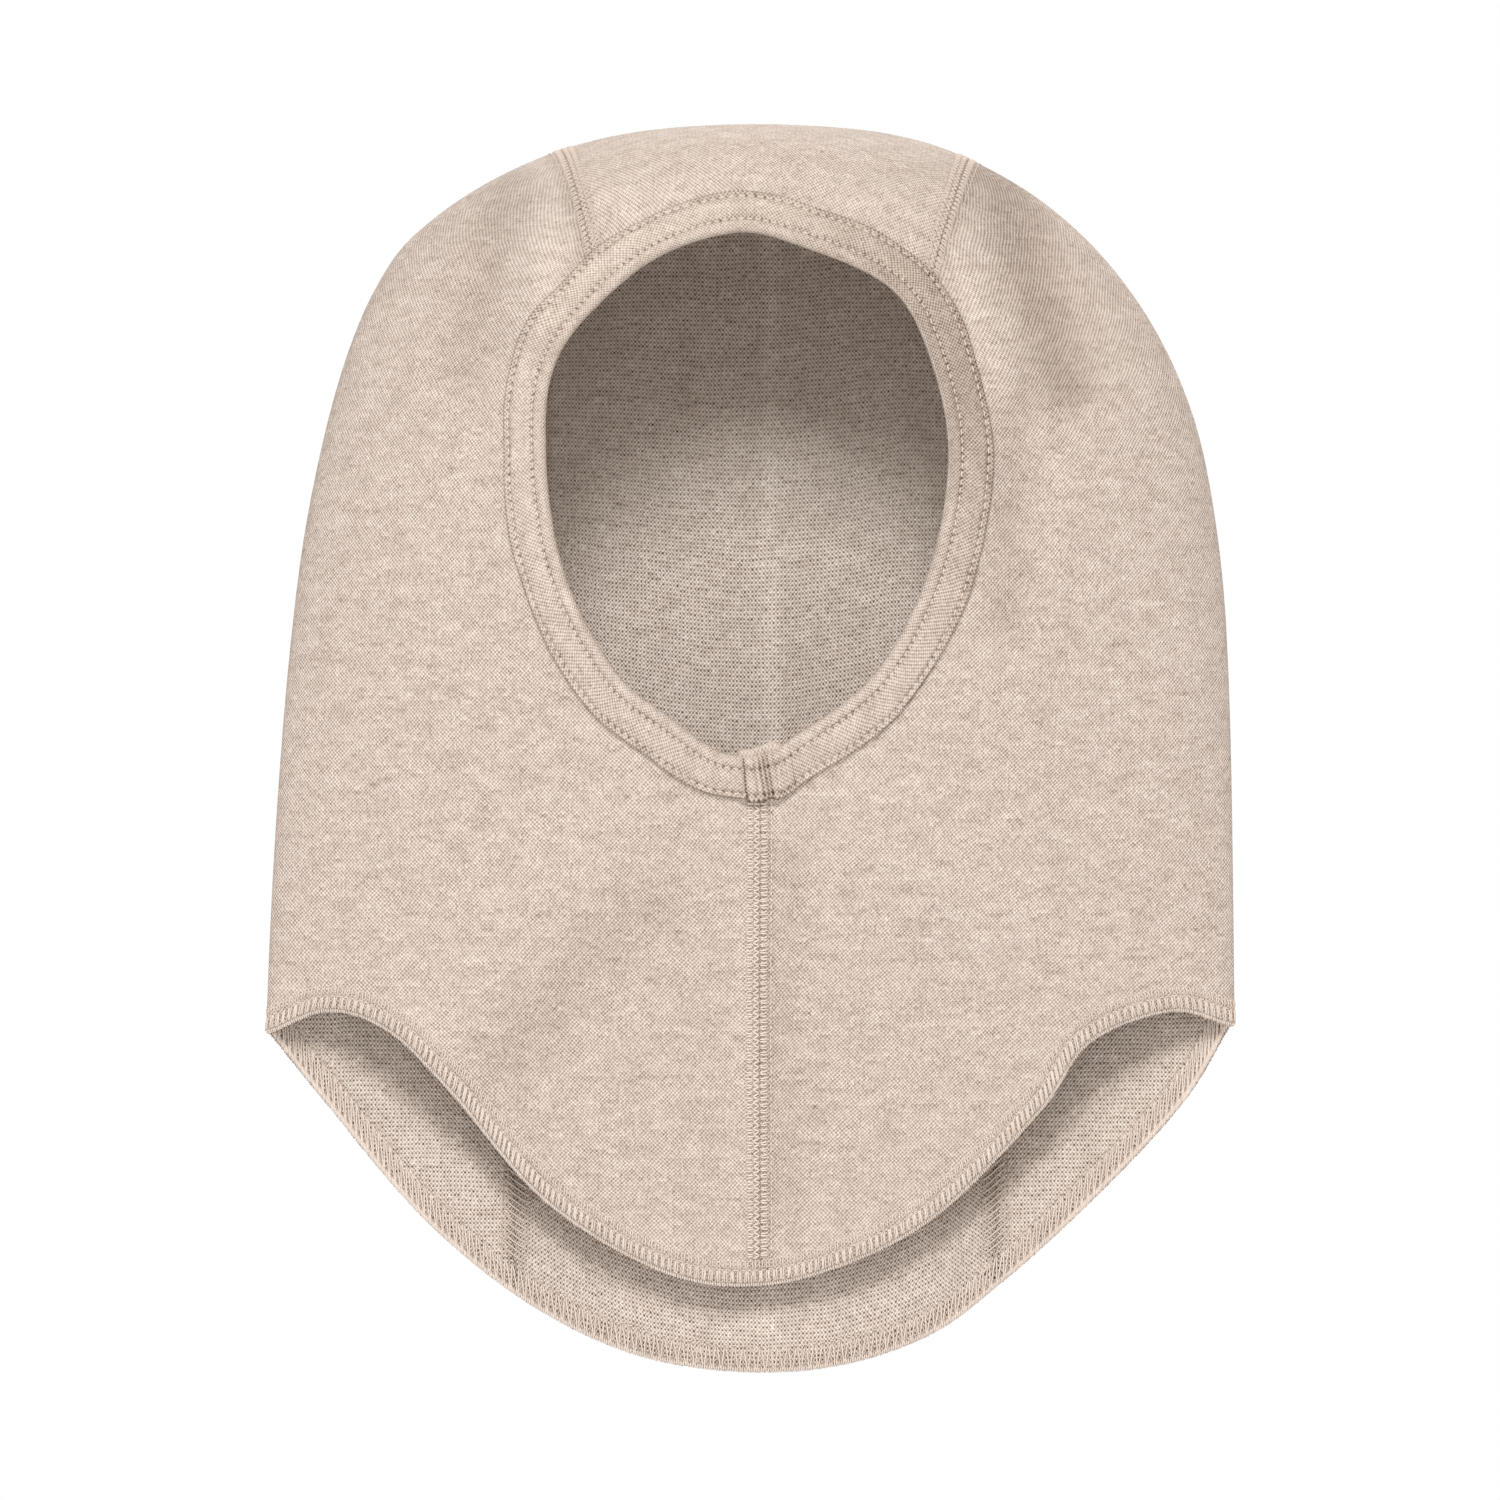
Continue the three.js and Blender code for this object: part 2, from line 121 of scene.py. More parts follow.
depth_back = curve([
    (0, 0), (0.15, 0.556), (0.3, 0.833), (0.45, 0.972), (0.6, 1), (0.75, 0.92), (0.9, 0.67),
    (1, 0.40), (1.1, 0.155), (1.25, 0.06), (1.5, 0.05),
])
FOLD_SHARPNESS = 0.35  # how much the level sections are pinched at the side folds
FULL_DROP = 1.39 * BACK_DROP  # down to the middle of the neck opening, if the cloth went on and closed
FACE_SHIFT = 0.3  # how far above the front's middle height the face opening's pole lies
SIDE_FADE = 0.12  # folds and unevenness fade out towards the sides over this share
TURN = 2 * np.pi

# Soft folds of the laid cloth, as (x, z of one end, x, z of the other end, half breadth, height).
FRONT_FOLDS = [
    (-0.052, 0.076, -0.053, 0.044, 0.0075, 0.0050),
    (-0.059, 0.078, -0.073, 0.032, 0.0075, -0.0024),
    (-0.031, 0.080, -0.033, 0.063, 0.0055, 0.0014),
    (0.061, 0.078, 0.077, 0.027, 0.0075, -0.0050),
    (0.050, 0.062, 0.061, 0.026, 0.0040, 0.0018),
    (0.064, 0.024, 0.063, -0.030, 0.0060, -0.0022),
    (-0.028, -0.100, -0.067, -0.144, 0.0100, -0.0017),
    (-0.046, -0.092, -0.084, -0.132, 0.0130, 0.0014),
    (-0.002, -0.084, -0.002, -0.185, 0.0042, 0.0012),
    (0.008, -0.090, 0.008, -0.180, 0.0046, -0.0011),
    (0.030, -0.075, 0.070, -0.110, 0.0130, 0.0012),
    (-0.030, 0.070, -0.008, 0.080, 0.0100, 0.0012),
    (-0.003, -0.0758, 0.0047, -0.0760, 0.0010, -0.0007),
]
BACK_FOLDS = [
    (-0.070, 0.040, -0.040, -0.040, 0.0160, -0.0022),
    (0.075, 0.030, 0.050, -0.060, 0.0180, -0.0020),
    (-0.060, -0.070, -0.030, -0.150, 0.0140, 0.0016),
    (0.020, -0.060, 0.045, -0.150, 0.0150, 0.0015),
    (0.004, -0.020, 0.004, -0.065, 0.0050, -0.0012),
]
WAVES = 14
FRONT_UNEVENNESS = [(3, 0.045, 0.00042), (5, 0.016, 0.00010)]  # (seed, size, height) of each kind of wave
BACK_UNEVENNESS = [(4, 0.050, 0.00060), (6, 0.018, 0.00012)]


def folds(x, z, ridges):
    """Height of the soft folds at (x, z): each is exp(-(distance to its line / half breadth) squared)."""
    height = np.zeros_like(x)
    for ax, az, bx, bz, breadth, rise in ridges:
        span = np.array((bx - ax, bz - az))
        t = np.clip(((x - ax) * span[0] + (z - az) * span[1]) / span.dot(span), 0, 1)
        away = np.hypot(x - ax - t * span[0], z - az - t * span[1])
        height += rise * np.exp(-((away / breadth) ** 2))
    return height


def unevenness(x, z, kinds):
    """Gentle unevenness: for each (seed, size, rise) a sum of sine waves in random directions, about `size`
    long and `rise` high."""
    total = np.zeros_like(x)
    for seed, size, rise in kinds:
        draw = np.random.default_rng(seed)
        height = np.zeros_like(x)
        for _ in range(WAVES):
            angle, phase = draw.uniform(0, TURN, 2)
            length = size * draw.uniform(0.6, 1.7)
            height += np.sin(TURN / length * (x * np.cos(angle) + z * np.sin(angle)) + phase)
        total += rise * height / np.sqrt(WAVES)
    return total


def section(z):
    """Middle and half width of the level section at height z, with its shape parameter s."""
    s = np.sqrt(np.maximum(CROWN - z, 0) / SHOULDER_DROP)
    right, left = HALF_WIDTH * width_right(s), HALF_WIDTH * width_left(s)
    return s, (right - left) / 2, (right + left) / 2


def level_depth(s, turned):
    """Depth of the level section at the angle `turned` from the front, elliptic and pinched at the sides."""
    share = np.where(np.cos(turned) > 0, -FRONT_DEPTH * depth_front(s), BACK_DEPTH * depth_back(s))
    return share * np.abs(np.cos(turned)) * (1 - FOLD_SHARPNESS * np.sin(turned) ** 2)


def skin(around, out):
    """Middle of the cloth at an angle about the face opening and a step out towards the neck.

    q = exp(out + i around) is a plane picture of a unit sphere with one pole at the face and the other at
    the neck. The sphere's height gives the drop below the crown, and its level circles are reshaped into
    the level sections, with the soft folds added in depth and faded out at the sides.
    """
    growth = np.exp(out)
    real, imaginary = growth * np.sin(around), -growth * np.cos(around)
    d = (1 - real) ** 2 + imaginary**2
    m = (FACE_SHIFT + real) ** 2 + imaginary**2
    dx = -2 * imaginary * (FACE_SHIFT + 1) / (d + m)
    dy = (m - d) / (m + d)
    dz = 2 * ((FACE_SHIFT + real) * (1 - real) - imaginary**2) / (d + m)
    z = CROWN - (1 - dz) * FULL_DROP / 2
    s, middle, half = section(z)
    turned = np.arctan2(dx, -dy)
    x = middle + half * np.sin(turned)
    faded = np.cos(turned) ** 2 / (np.cos(turned) ** 2 + SIDE_FADE)
    front = folds(x, z, FRONT_FOLDS) + unevenness(x, z, FRONT_UNEVENNESS)
    back = folds(x, z, BACK_FOLDS) + unevenness(x, z, BACK_UNEVENNESS)
    relief = np.where(dy < 0, -front, back) * faded
    return np.stack([x, level_depth(s, turned) + relief, z], -1)


def place_of(x, z, facing):
    """The angle and the step out of a point seen from the front (facing -1) or from behind (facing 1)."""
    _, middle, half = section(z)
    across = np.clip((x - middle) / half, -1, 1)
    dz = 1 - 2 * (CROWN - z) / FULL_DROP
    level = np.sqrt(1 - dz * dz)
    dx, dy = across * level, facing * level * np.sqrt(1 - across * across)
    top, lower = dx + 1j * (dz - FACE_SHIFT * (1 - dy)), dx + 1j * (dz + (1 - dy))
    return np.angle(1j * top / lower), np.log(np.abs(top / lower))


def spline(points, steps=60, closed=False):
    """Catmull-Rom curve through the points, `steps` places on each stretch."""
    points = np.array(points, float)
    if closed:
        padded = np.vstack([points[-1:], points, points[:2]])
    else:
        padded = np.vstack([2 * points[0] - points[1], points, 2 * points[-1] - points[-2]])
    p0, p1, p2, p3 = (padded[k : len(padded) - 3 + k, None] for k in range(4))
    u = np.linspace(0, 1, steps, endpoint=False)[None, :, None]
    curved = 2 * p1 + (p2 - p0) * u + (2 * p0 - 5 * p1 + 4 * p2 - p3) * u**2
    curved = curved + (3 * p1 - p0 - 3 * p2 + p3) * u**3
    run = (curved / 2).reshape(-1, 2)
    return run if closed else np.vstack([run, points[-1:]])


# Outlines seen from the front: x in half widths, z in shares of the opening's height or of the drops.
FACE_OUTLINE = [
    (-0.083, 0), (-0.53, 0.068), (-0.93, 0.232), (-1, 0.415), (-0.91, 0.647), (-0.65, 0.84), (-0.371, 0.93),
    (-0.181, 0.983), (-0.04, 1), (0.09, 0.995), (0.22, 0.967), (0.62, 0.849), (0.895, 0.656), (1, 0.434),
    (0.92, 0.251), (0.72, 0.107), (0.27, 0.025),
]
FRONT_NECK = [
    (-1.006, 0), (-0.88, -0.088), (-0.757, -0.008), (-0.632, 0.229), (-0.436, 0.663), (-0.197, 0.94), (0, 1),
    (0.197, 0.908), (0.384, 0.71), (0.591, 0.307), (0.695, 0.032), (0.86, -0.088), (0.985, -0.029),
]
BACK_NECK = [
    (0.985, -0.022), (0.891, 0.199), (0.72, 0.464), (0.518, 0.729), (0.34, 0.906), (0.094, 0.996),
    (-0.197, 0.968), (-0.448, 0.817), (-0.684, 0.552), (-0.895, 0.199), (-1.006, 0),
]
FRONT_ANGLE = float(place_of(CENTRE_FRONT_X, CROWN - OPENING_TOP - OPENING_HEIGHT, -1)[0])


def edge(*runs):
    """How far out an edge lies at each angle, from outlines drawn in the front view."""
    found = [place_of(points[:, 0], points[:, 1], facing) for points, facing in runs]
    angle = np.mod(np.concatenate([a for a, _ in found]) - FRONT_ANGLE, TURN)
    out = np.concatenate([o for _, o in found])
    order = np.argsort(angle)
    return lambda around: np.interp(np.mod(around - FRONT_ANGLE, TURN), angle[order], out[order], period=TURN)


def neck_points(outline, lowest):
    """A neck outline in metres: x in half widths, z between the shoulder corners and the lowest point."""
    x, z = np.array(outline).T
    return spline(np.stack([x * HALF_WIDTH, CROWN - SHOULDER_DROP - z * (lowest - SHOULDER_DROP)], -1))


face_x, face_z = np.array(FACE_OUTLINE).T
face_x = OPENING_X + face_x * OPENING_WIDTH / 2
face_z = CROWN - OPENING_TOP - face_z * OPENING_HEIGHT
face_edge = edge((spline(np.stack([face_x, face_z], -1), closed=True), -1))
neck_edge = edge((neck_points(FRONT_NECK, FRONT_DROP), -1), (neck_points(BACK_NECK, BACK_DROP), 1))

STEP = 1e-3  # half the stretch over which a slope is taken


def slopes(around, out):
    """The skin's two directions, per unit of angle and per unit of step out."""
    by_angle = skin(around + STEP, out) - skin(around - STEP, out)
    by_out = skin(around, out + STEP) - skin(around, out - STEP)
    return by_angle / (2 * STEP), by_out / (2 * STEP)


def cloth(around, out, lift=0.0):
    """A point at `lift` off the middle of the cloth, outwards when positive."""
    around, out = np.broadcast_arrays(np.asarray(around, float), np.asarray(out, float))
    by_angle, by_out = slopes(around, out)
    normal = np.cross(by_out, by_angle)
    normal /= np.linalg.norm(normal, axis=-1, keepdims=True)
    return skin(around, out) + normal * np.broadcast_to(lift, around.shape)[..., None]


def edge_pace(limit):
    """Metres of cloth per unit of step out, square to an edge, as a function of the angle."""
    turned, nearby = np.linspace(0, TURN, 720, endpoint=False), 10 * STEP
    angles = FRONT_ANGLE + turned
    by_angle, by_out = slopes(angles, limit(angles))
    along = by_angle + by_out * ((limit(angles + nearby) - limit(angles - nearby)) / (2 * nearby))[:, None]
    along /= np.linalg.norm(along, axis=-1, keepdims=True)
    square = by_out - along * np.sum(by_out * along, -1, keepdims=True)
    pace = np.linalg.norm(square, axis=-1)
    return lambda around: np.interp(np.mod(around - FRONT_ANGLE, TURN), turned, pace, period=TURN)


face_pace, neck_pace = edge_pace(face_edge), edge_pace(neck_edge)


def in_from_face(around, reach):
    """Step out of a place that lies `reach` metres in from the rolled face edge."""
    return face_edge(around) + reach / face_pace(around)


def in_from_neck(around, reach):
    """Step out of a place that lies `reach` metres in from the neck edge."""
    return neck_edge(around) - reach / neck_pace(around)


def out_at(around, share):
    """Step out at a share of the way from the binding (0) to the neck band (1), and -1 to 2 over both."""
    face = in_from_face(around, BINDING_WIDTH * (1 + np.minimum(share, 0)))
    neck = in_from_neck(around, HEM_WIDTH * (2 - np.maximum(share, 1)))
    return face + (neck - face) * np.clip(share, 0, 1)


# The seams of the centre panel, as x against the share of the way from the binding to the neck band.
CROWN_SEAMS = {
    "right": curve([(0, 0.0435), (0.3, 0.053), (1, 0.060)]),
    "left": curve([(0, -0.040), (0.3, -0.0485), (1, -0.060)]),
}
SEAM_REACH = 0.55 * np.pi  # the widest angle from the top at which a crown seam is looked for
HALVINGS = 30


def seam_angle(name, share):
    """A seam's angle at a share of its length, found by halving the angle between the top and the side."""
    share = np.clip(share, 0, 1)
    if name in ("front", "full_turn"):
        return np.full_like(share, FRONT_ANGLE + (TURN if name == "full_turn" else 0))
    middle = np.full_like(share, FRONT_ANGLE + np.pi)
    side = middle + (-SEAM_REACH if name == "right" else SEAM_REACH)
    for _ in range(HALVINGS):
        tried = (middle + side) / 2
        inside = np.abs(skin(tried, out_at(tried, share))[..., 0]) < np.abs(CROWN_SEAMS[name](share))
        middle, side = np.where(inside, tried, middle), np.where(inside, side, tried)
    return middle


def beside(angle, share, reach):
    """The angle `reach` metres along the cloth from `angle`, at a share of the way out."""
    by_angle, _ = slopes(angle, out_at(angle, share))
    return angle + reach / np.linalg.norm(by_angle, axis=-1)


def mesh_piece(name, points, faces, uv, material_index=0, shade=None):
    """A smooth mesh object from points (n, 3), a list of face arrays (m, corners), and a UV for each point.
    `shade` is the painted shade at each point for the material, 0 to 1, in creases and under stitches, and
    below 0 where light is painted instead."""
    mesh = bpy.data.meshes.new(name)
    points = np.asarray(points, np.float32).reshape(-1, 3)
    corners = np.concatenate([np.asarray(part, np.int32).ravel() for part in faces])
    sizes = np.concatenate([np.full(len(part), part.shape[1]) for part in faces])
    mesh.vertices.add(len(points))
    mesh.vertices.foreach_set("co", points.ravel())
    mesh.loops.add(len(corners))
    mesh.loops.foreach_set("vertex_index", corners)
    mesh.polygons.add(len(sizes))
    mesh.polygons.foreach_set("loop_start", np.r_[0, np.cumsum(sizes)[:-1]].astype(np.int32))
    mesh.polygons.foreach_set("use_smooth", np.ones(len(sizes), bool))
    mesh.polygons.foreach_set("material_index", np.broadcast_to(material_index, len(sizes)).astype(np.int32))
    mesh.update(calc_edges=True)
    layer = mesh.uv_layers.new(name="cloth")
    layer.data.foreach_set("uv", np.asarray(uv, np.float32).reshape(-1, 2)[corners].ravel())
    if shade is not None:
        painted_shade = mesh.attributes.new("shade", "FLOAT", "POINT")
        painted_shade.data.foreach_set("value", np.asarray(shade, np.float32).ravel())
    mesh.validate()
    piece = bpy.data.objects.new(name, mesh)
    bpy.context.scene.collection.objects.link(piece)
    return piece


def grid_quads(rows, columns, start=0, flip=False, wrap_rows=False, wrap_columns=False):
    """Quads of a grid of points numbered row by row from `start`."""
    number = np.arange(rows * columns).reshape(rows, columns) + start
    if wrap_rows:
        number = np.vstack([number, number[:1]])
    if wrap_columns:
        number = np.hstack([number, number[:, :1]])
    quads = np.stack([number[:-1, :-1], number[:-1, 1:], number[1:, 1:], number[1:, :-1]], -1).reshape(-1, 4)
    return quads[:, ::-1] if flip else quads


def shell_quads(rows, columns):
    """Quads of a closed sheet: an outer grid, then an inner one, joined by walls round their borders."""
    count = rows * columns
    outer, inner = grid_quads(rows, columns, flip=True), grid_quads(rows, columns, count)
    number = np.arange(count).reshape(rows, columns)
    border = np.concatenate([number[0, :-1], number[:-1, -1], number[-1, :0:-1], number[:0:-1, 0]])
    after = np.roll(border, -1)
    walls = np.stack([border, after, after + count, border + count], -1)
    return outer, inner, walls


def link(tree, source, target):
    """Joins a socket to another, or sets the target's value if the source is a number."""
    if isinstance(source, bpy.types.NodeSocket):
        tree.links.new(source, target)
    else:
        target.default_value = source


def maths(tree, operation, *values):
    """A Math node's output for numbers or sockets."""
    node = tree.nodes.new("ShaderNodeMath")
    node.operation = operation
    for socket, value in zip(node.inputs, values):
        link(tree, value, socket)
    return node.outputs[0]


def ramp(tree, value, stops):
    """A colour ramp through (position, colour) stops."""
    node = tree.nodes.new("ShaderNodeValToRGB")
    link(tree, value, node.inputs["Fac"])
    elements = node.color_ramp.elements
    while len(elements) < len(stops):
        elements.new(0.5)
    for element, (position, colour) in zip(elements, stops):
        element.position = position
        element.color = (*colour, 1)
    return node.outputs["Color"]


def noise(tree, vector, scale, detail=2.0, roughness=0.5):
    """A Noise Texture's value."""
    node = tree.nodes.new("ShaderNodeTexNoise")
    node.inputs["Scale"].default_value = scale
    node.inputs["Detail"].default_value = detail
    node.inputs["Roughness"].default_value = roughness
    link(tree, vector, node.inputs["Vector"])
    return node.outputs["Fac"]


def combined(tree, x, y, z=0.0):
    """A vector from three numbers or sockets."""
    node = tree.nodes.new("ShaderNodeCombineXYZ")
    for socket, value in zip(node.inputs, (x, y, z)):
        link(tree, value, socket)
    return node.outputs[0]


def mixed(tree, kind, share, a, b):
    """Two colours mixed."""
    node = tree.nodes.new("ShaderNodeMix")
    node.data_type = "RGBA"
    node.blend_type = kind
    link(tree, share, node.inputs["Factor"])
    link(tree, a, node.inputs[6])
    link(tree, b, node.inputs[7])
    return node.outputs[2]


WALE = 0.00099  # one column of stitches
COURSE = 0.00101  # one row of stitches
PALE_YARN = (0.742, 0.640, 0.556)
MID_YARN = (0.668, 0.565, 0.484)
DARK_YARN = (0.470, 0.378, 0.310)


def knit(name, purl=False, depth=0.00038, dots=0.74, level=0.87, shaded_dots=1.5, unit=(WALE, COURSE)):
    """Heathered jersey. UVs are metres, u across the wales and v along them.

    Smooth side: the lattice cos(u) cos(v) puts a loop at the foot of each V, with painted light on it, and
    dots of painted shade where its strands part, and cos(u + v) makes the left strand of each V the prouder
    one, with a painted
    highlight. Purl side: each course is a wavy cord, cos(v + wave cos u), broken by the same lattice. The
    height is (1 + lattice) / 2, and the colour is painted lighter where it is high; the dots of painted shade
    are its squared hollows, each with its own depth. Each course draws its own streaks of fibre along u.

    `depth` is the bump's height in metres, `dots` how dark the dots of painted shade are, `level` the cloth's
    own lightness, `shaded_dots` how much deeper the dots are where the attribute "shade" (painted shade) is
    1, and `unit` a wale's width and a course's height.
    """
    material = bpy.data.materials.new(name)
    material.use_nodes = True
    tree = material.node_tree
    shader = tree.nodes["Principled BSDF"]
    where = tree.nodes.new("ShaderNodeUVMap")
    where.uv_map = "cloth"
    split = tree.nodes.new("ShaderNodeSeparateXYZ")
    link(tree, where.outputs["UV"], split.inputs[0])
    u = maths(tree, "DIVIDE", split.outputs["X"], unit[0])
    v = maths(tree, "DIVIDE", split.outputs["Y"], unit[1])

    # A little wander keeps the stitches from lining up like print.
    drift = maths(tree, "MULTIPLY", noise(tree, combined(tree, u, v), 0.06, 3.0), 1.8)
    sway = maths(tree, "MULTIPLY", noise(tree, combined(tree, v, u), 0.06, 3.0), 1.8)
    v = maths(tree, "ADD", v, drift)
    u = maths(tree, "ADD", u, sway)
    u_turn, v_turn = maths(tree, "MULTIPLY", u, TURN), maths(tree, "MULTIPLY", v, TURN)
    cos_u, cos_v = maths(tree, "COSINE", u_turn), maths(tree, "COSINE", v_turn)
    lattice = maths(tree, "MULTIPLY", cos_u, cos_v)
    if purl:
        cord = maths(tree, "COSINE", maths(tree, "MULTIPLY_ADD", cos_u, 0.7, v_turn))
        shape = maths(tree, "MULTIPLY_ADD", cord, 0.30, maths(tree, "MULTIPLY", lattice, 0.70))
    else:
        slant = maths(tree, "COSINE", maths(tree, "ADD", u_turn, v_turn))
        straight = maths(tree, "MULTIPLY", maths(tree, "ADD", cos_u, cos_v), 0.12)
        shape = maths(tree, "MULTIPLY_ADD", lattice, 0.70, maths(tree, "MULTIPLY_ADD", slant, 0.06, straight))
    height = maths(tree, "MULTIPLY_ADD", shape, 0.5, 0.5)
    hollow = maths(tree, "SUBTRACT", 1.0, height)
    cell = combined(tree, maths(tree, "FLOOR", maths(tree, "MULTIPLY", u, 2.0)), maths(tree, "FLOOR", v))
    own_depth = maths(tree, "MULTIPLY_ADD", noise(tree, cell, 0.83, 1.0, 0.5), 2.4, -0.45)
    dot = maths(tree, "MULTIPLY", maths(tree, "MULTIPLY", hollow, hollow), own_depth)
    # The attribute "shade" is painted shade, below 0 painted light: it darkens the colour and deepens the
    # dots.
    painted_shade = tree.nodes.new("ShaderNodeAttribute")
    painted_shade.attribute_name = "shade"
    dot = maths(tree, "MULTIPLY", dot, maths(tree, "MULTIPLY_ADD", painted_shade.outputs["Fac"], shaded_dots, 1.0))

    # Fibre: streaks along each course, soft patches, and single brown flecks.
    row = maths(tree, "MULTIPLY", maths(tree, "FLOOR", v), 5.3)
    streaks = noise(tree, combined(tree, maths(tree, "MULTIPLY", u, 0.25), row), 1.0, 2.0, 0.6)
    flecks = noise(tree, combined(tree, maths(tree, "MULTIPLY", u, 0.8), row, 4.0), 1.0, 1.0, 0.6)
    patches = noise(tree, combined(tree, maths(tree, "MULTIPLY", u, 0.5), v, 8.0), 0.25, 3.0, 0.6)
    fibre = maths(tree, "ADD", maths(tree, "MULTIPLY", streaks, 0.36), maths(tree, "MULTIPLY", flecks, 0.30))
    fibre = maths(tree, "ADD", fibre, maths(tree, "MULTIPLY", patches, 0.34))
    yarn = ramp(tree, fibre, [(0.30, DARK_YARN), (0.43, MID_YARN), (0.56, PALE_YARN), (0.70, PALE_YARN)])
    hairs = noise(tree, combined(tree, maths(tree, "MULTIPLY", u, 1.3), v), 1.7, 2.0, 0.6)
    cloud = noise(tree, combined(tree, maths(tree, "MULTIPLY", u, 0.55), v, 3.0), 0.30, 3.0, 0.7)

    # Painted light and shade: loops lighter and hollows darker, painted shade in the dots, and painted shade
    # from the attribute "shade" in creases and under seams; loose hairs and soft clouds are the yarn's own
    # tone.
    light = maths(tree, "MULTIPLY_ADD", shape, 0.14, level + 0.27 * dots - 0.40)
    light = maths(tree, "MULTIPLY_ADD", dot, -dots, light)
    light = maths(tree, "MULTIPLY_ADD", hairs, 0.34, light)
    light = maths(tree, "MULTIPLY_ADD", cloud, 0.46, light)
    light = maths(tree, "MULTIPLY", light, maths(tree, "SUBTRACT", 1.0, painted_shade.outputs["Fac"]))
    # Painted shade and the darker marks turn warmer as they darken.
    warm = combined(tree, light, maths(tree, "POWER", light, 1.12), maths(tree, "POWER", light, 1.22))
    base = mixed(tree, "MULTIPLY", 1.0, yarn, warm)
    link(tree, base, shader.inputs["Base Color"])

    # The bump: loops proud, dots sunk, and hairs over both.
    sunk = maths(tree, "SUBTRACT", height, maths(tree, "MULTIPLY", dot, 0.4))
    relief = maths(tree, "MULTIPLY_ADD", hairs, 0.5, sunk)
    bump = tree.nodes.new("ShaderNodeBump")
    bump.inputs["Strength"].default_value = 0.9
    bump.inputs["Distance"].default_value = depth
    link(tree, relief, bump.inputs["Height"])
    link(tree, bump.outputs["Normal"], shader.inputs["Normal"])
    shader.inputs["Roughness"].default_value = 0.92
    shader.inputs["Specular IOR Level"].default_value = 0.15
    shader.inputs["Sheen Weight"].default_value = 0.12
    shader.inputs["Sheen Roughness"].default_value = 0.5
    shader.inputs["Sheen Tint"].default_value = (0.95, 0.88, 0.80, 1)
    return material


PURL = (0.00091, 0.00113)  # a wave's length and a row's height, as the inside shows them
smooth_side = knit("jersey_smooth_side")
purl_side = knit("jersey_purl_side", True, depth=0.00045, dots=1.15, level=1.0, shaded_dots=1.2, unit=PURL)


# ---------------------------------------------------------------------------------------------------------
# The two side panels, each one piece of jersey from the centre front round the side to the crown seam,
# wales upright. Their cut edges butt at the seams and run inside the binding and the neck overlock.
# ---------------------------------------------------------------------------------------------------------
RAW_FACE_EDGE = 0.0012  # the panels' cut edge, in from the rolled edge of the binding
RAW_NECK_EDGE = 0.0005
RAW_SEAM_EDGE = 0.00001  # half the gap between two butted panels
SEAM_ZONE, HEM_ZONE = 0.0032, 0.0048  # how far from a seam and from the neck edge the stitches press in, and their painted shade reaches
SHADE_UNDER_SEAM, SHADE_UNDER_HEM = 0.17, 0.19  # painted shade on the cloth there, under the stitches
VALLEY_SHADE, RIDGE_LIGHT = 44, 14  # shade in a valley and light on a ridge, per metre of its height
BACK_CREASE = 0.0040  # x of a pressed crease down the middle of the back, seen from inside, with a painted highlight along it
CREASE_LIGHT, CREASE_BREADTH = 0.08, 0.0022
# Shade of the inside as (z, shade): deep under the crown, and a little where the layers lie close.
INSIDE_SHADE = [(-0.13, 0.08), (-0.09, 0.07), (-0.065, 0), (0.012, 0), (0.034, 0.15), (0.054, 0.22)]
PANEL_ROWS = np.r_[
    np.linspace(RAW_FACE_EDGE / BINDING_WIDTH - 1, 0, 9)[:-1],
    np.linspace(0, 1, 180) ** 1.25,
    np.linspace(1, 2 - RAW_NECK_EDGE / HEM_WIDTH, 7)[1:],
]


def panel_grid(start, stop, columns):
    """Angles and steps out of a panel's grid, one row of points for each share in PANEL_ROWS."""
    first = beside(seam_angle(start, PANEL_ROWS), PANEL_ROWS, RAW_SEAM_EDGE)
    last = beside(seam_angle(stop, PANEL_ROWS), PANEL_ROWS, -RAW_SEAM_EDGE)
    t = np.linspace(0, 1, columns)[None]
    around = first[:, None] * (1 - t) + last[:, None] * t
    return around, out_at(around, PANEL_ROWS[:, None])


GRAIN_DROP = 0.76  # how far down the full drop the panels' grain is worked out
TO_SIDE = 90  # steps of it from the front's middle to the side fold


def upright_grain(points, hand):
    """UVs of cloth whose wales follow the side folds: u is metres round the level section from the fold at
    the side, v is metres down the side's outline. `hand` is 1 for the right panel and -1 for the left."""
    heights = np.linspace(CROWN - GRAIN_DROP * FULL_DROP, CROWN - 1e-5, 240)
    turns = np.linspace(0, np.pi, 2 * TO_SIDE + 1)
    s, _, half = section(heights[:, None])
    width, depth = half * np.sin(turns), level_depth(s, turns[None])
    steps = np.hypot(np.diff(width, axis=1), np.diff(depth, axis=1))
    run = np.hstack([np.zeros((len(heights), 1)), np.cumsum(steps, axis=1)])
    run -= run[:, TO_SIDE : TO_SIDE + 1]
    drop = np.hypot(np.gradient(half[:, 0]), np.gradient(heights))
    down = np.cumsum(drop)
    x, z = points[..., 0], points[..., 2]
    _, middle, half_here = section(z)
    across = np.arcsin(np.clip((x - middle) / half_here, -1, 1))
    turned = np.where(points[..., 1] < 0, np.abs(across), np.pi - np.abs(across))
    level = np.clip((z - heights[0]) / (heights[1] - heights[0]), 0, len(heights) - 1.001)
    step = np.clip(turned / (turns[1] - turns[0]), 0, len(turns) - 1.001)
    below, before = level.astype(int), step.astype(int)
    up, on = level - below, step - before
    u = (run[below, before] * (1 - on) + run[below, before + 1] * on) * (1 - up)
    u = u + (run[below + 1, before] * (1 - on) + run[below + 1, before + 1] * on) * up
    u = np.where(across * hand < 0, 2 * np.interp(z, heights, run[:, 0]) - u, u)
    return np.stack([-hand * u, np.interp(z, heights, down)], -1)


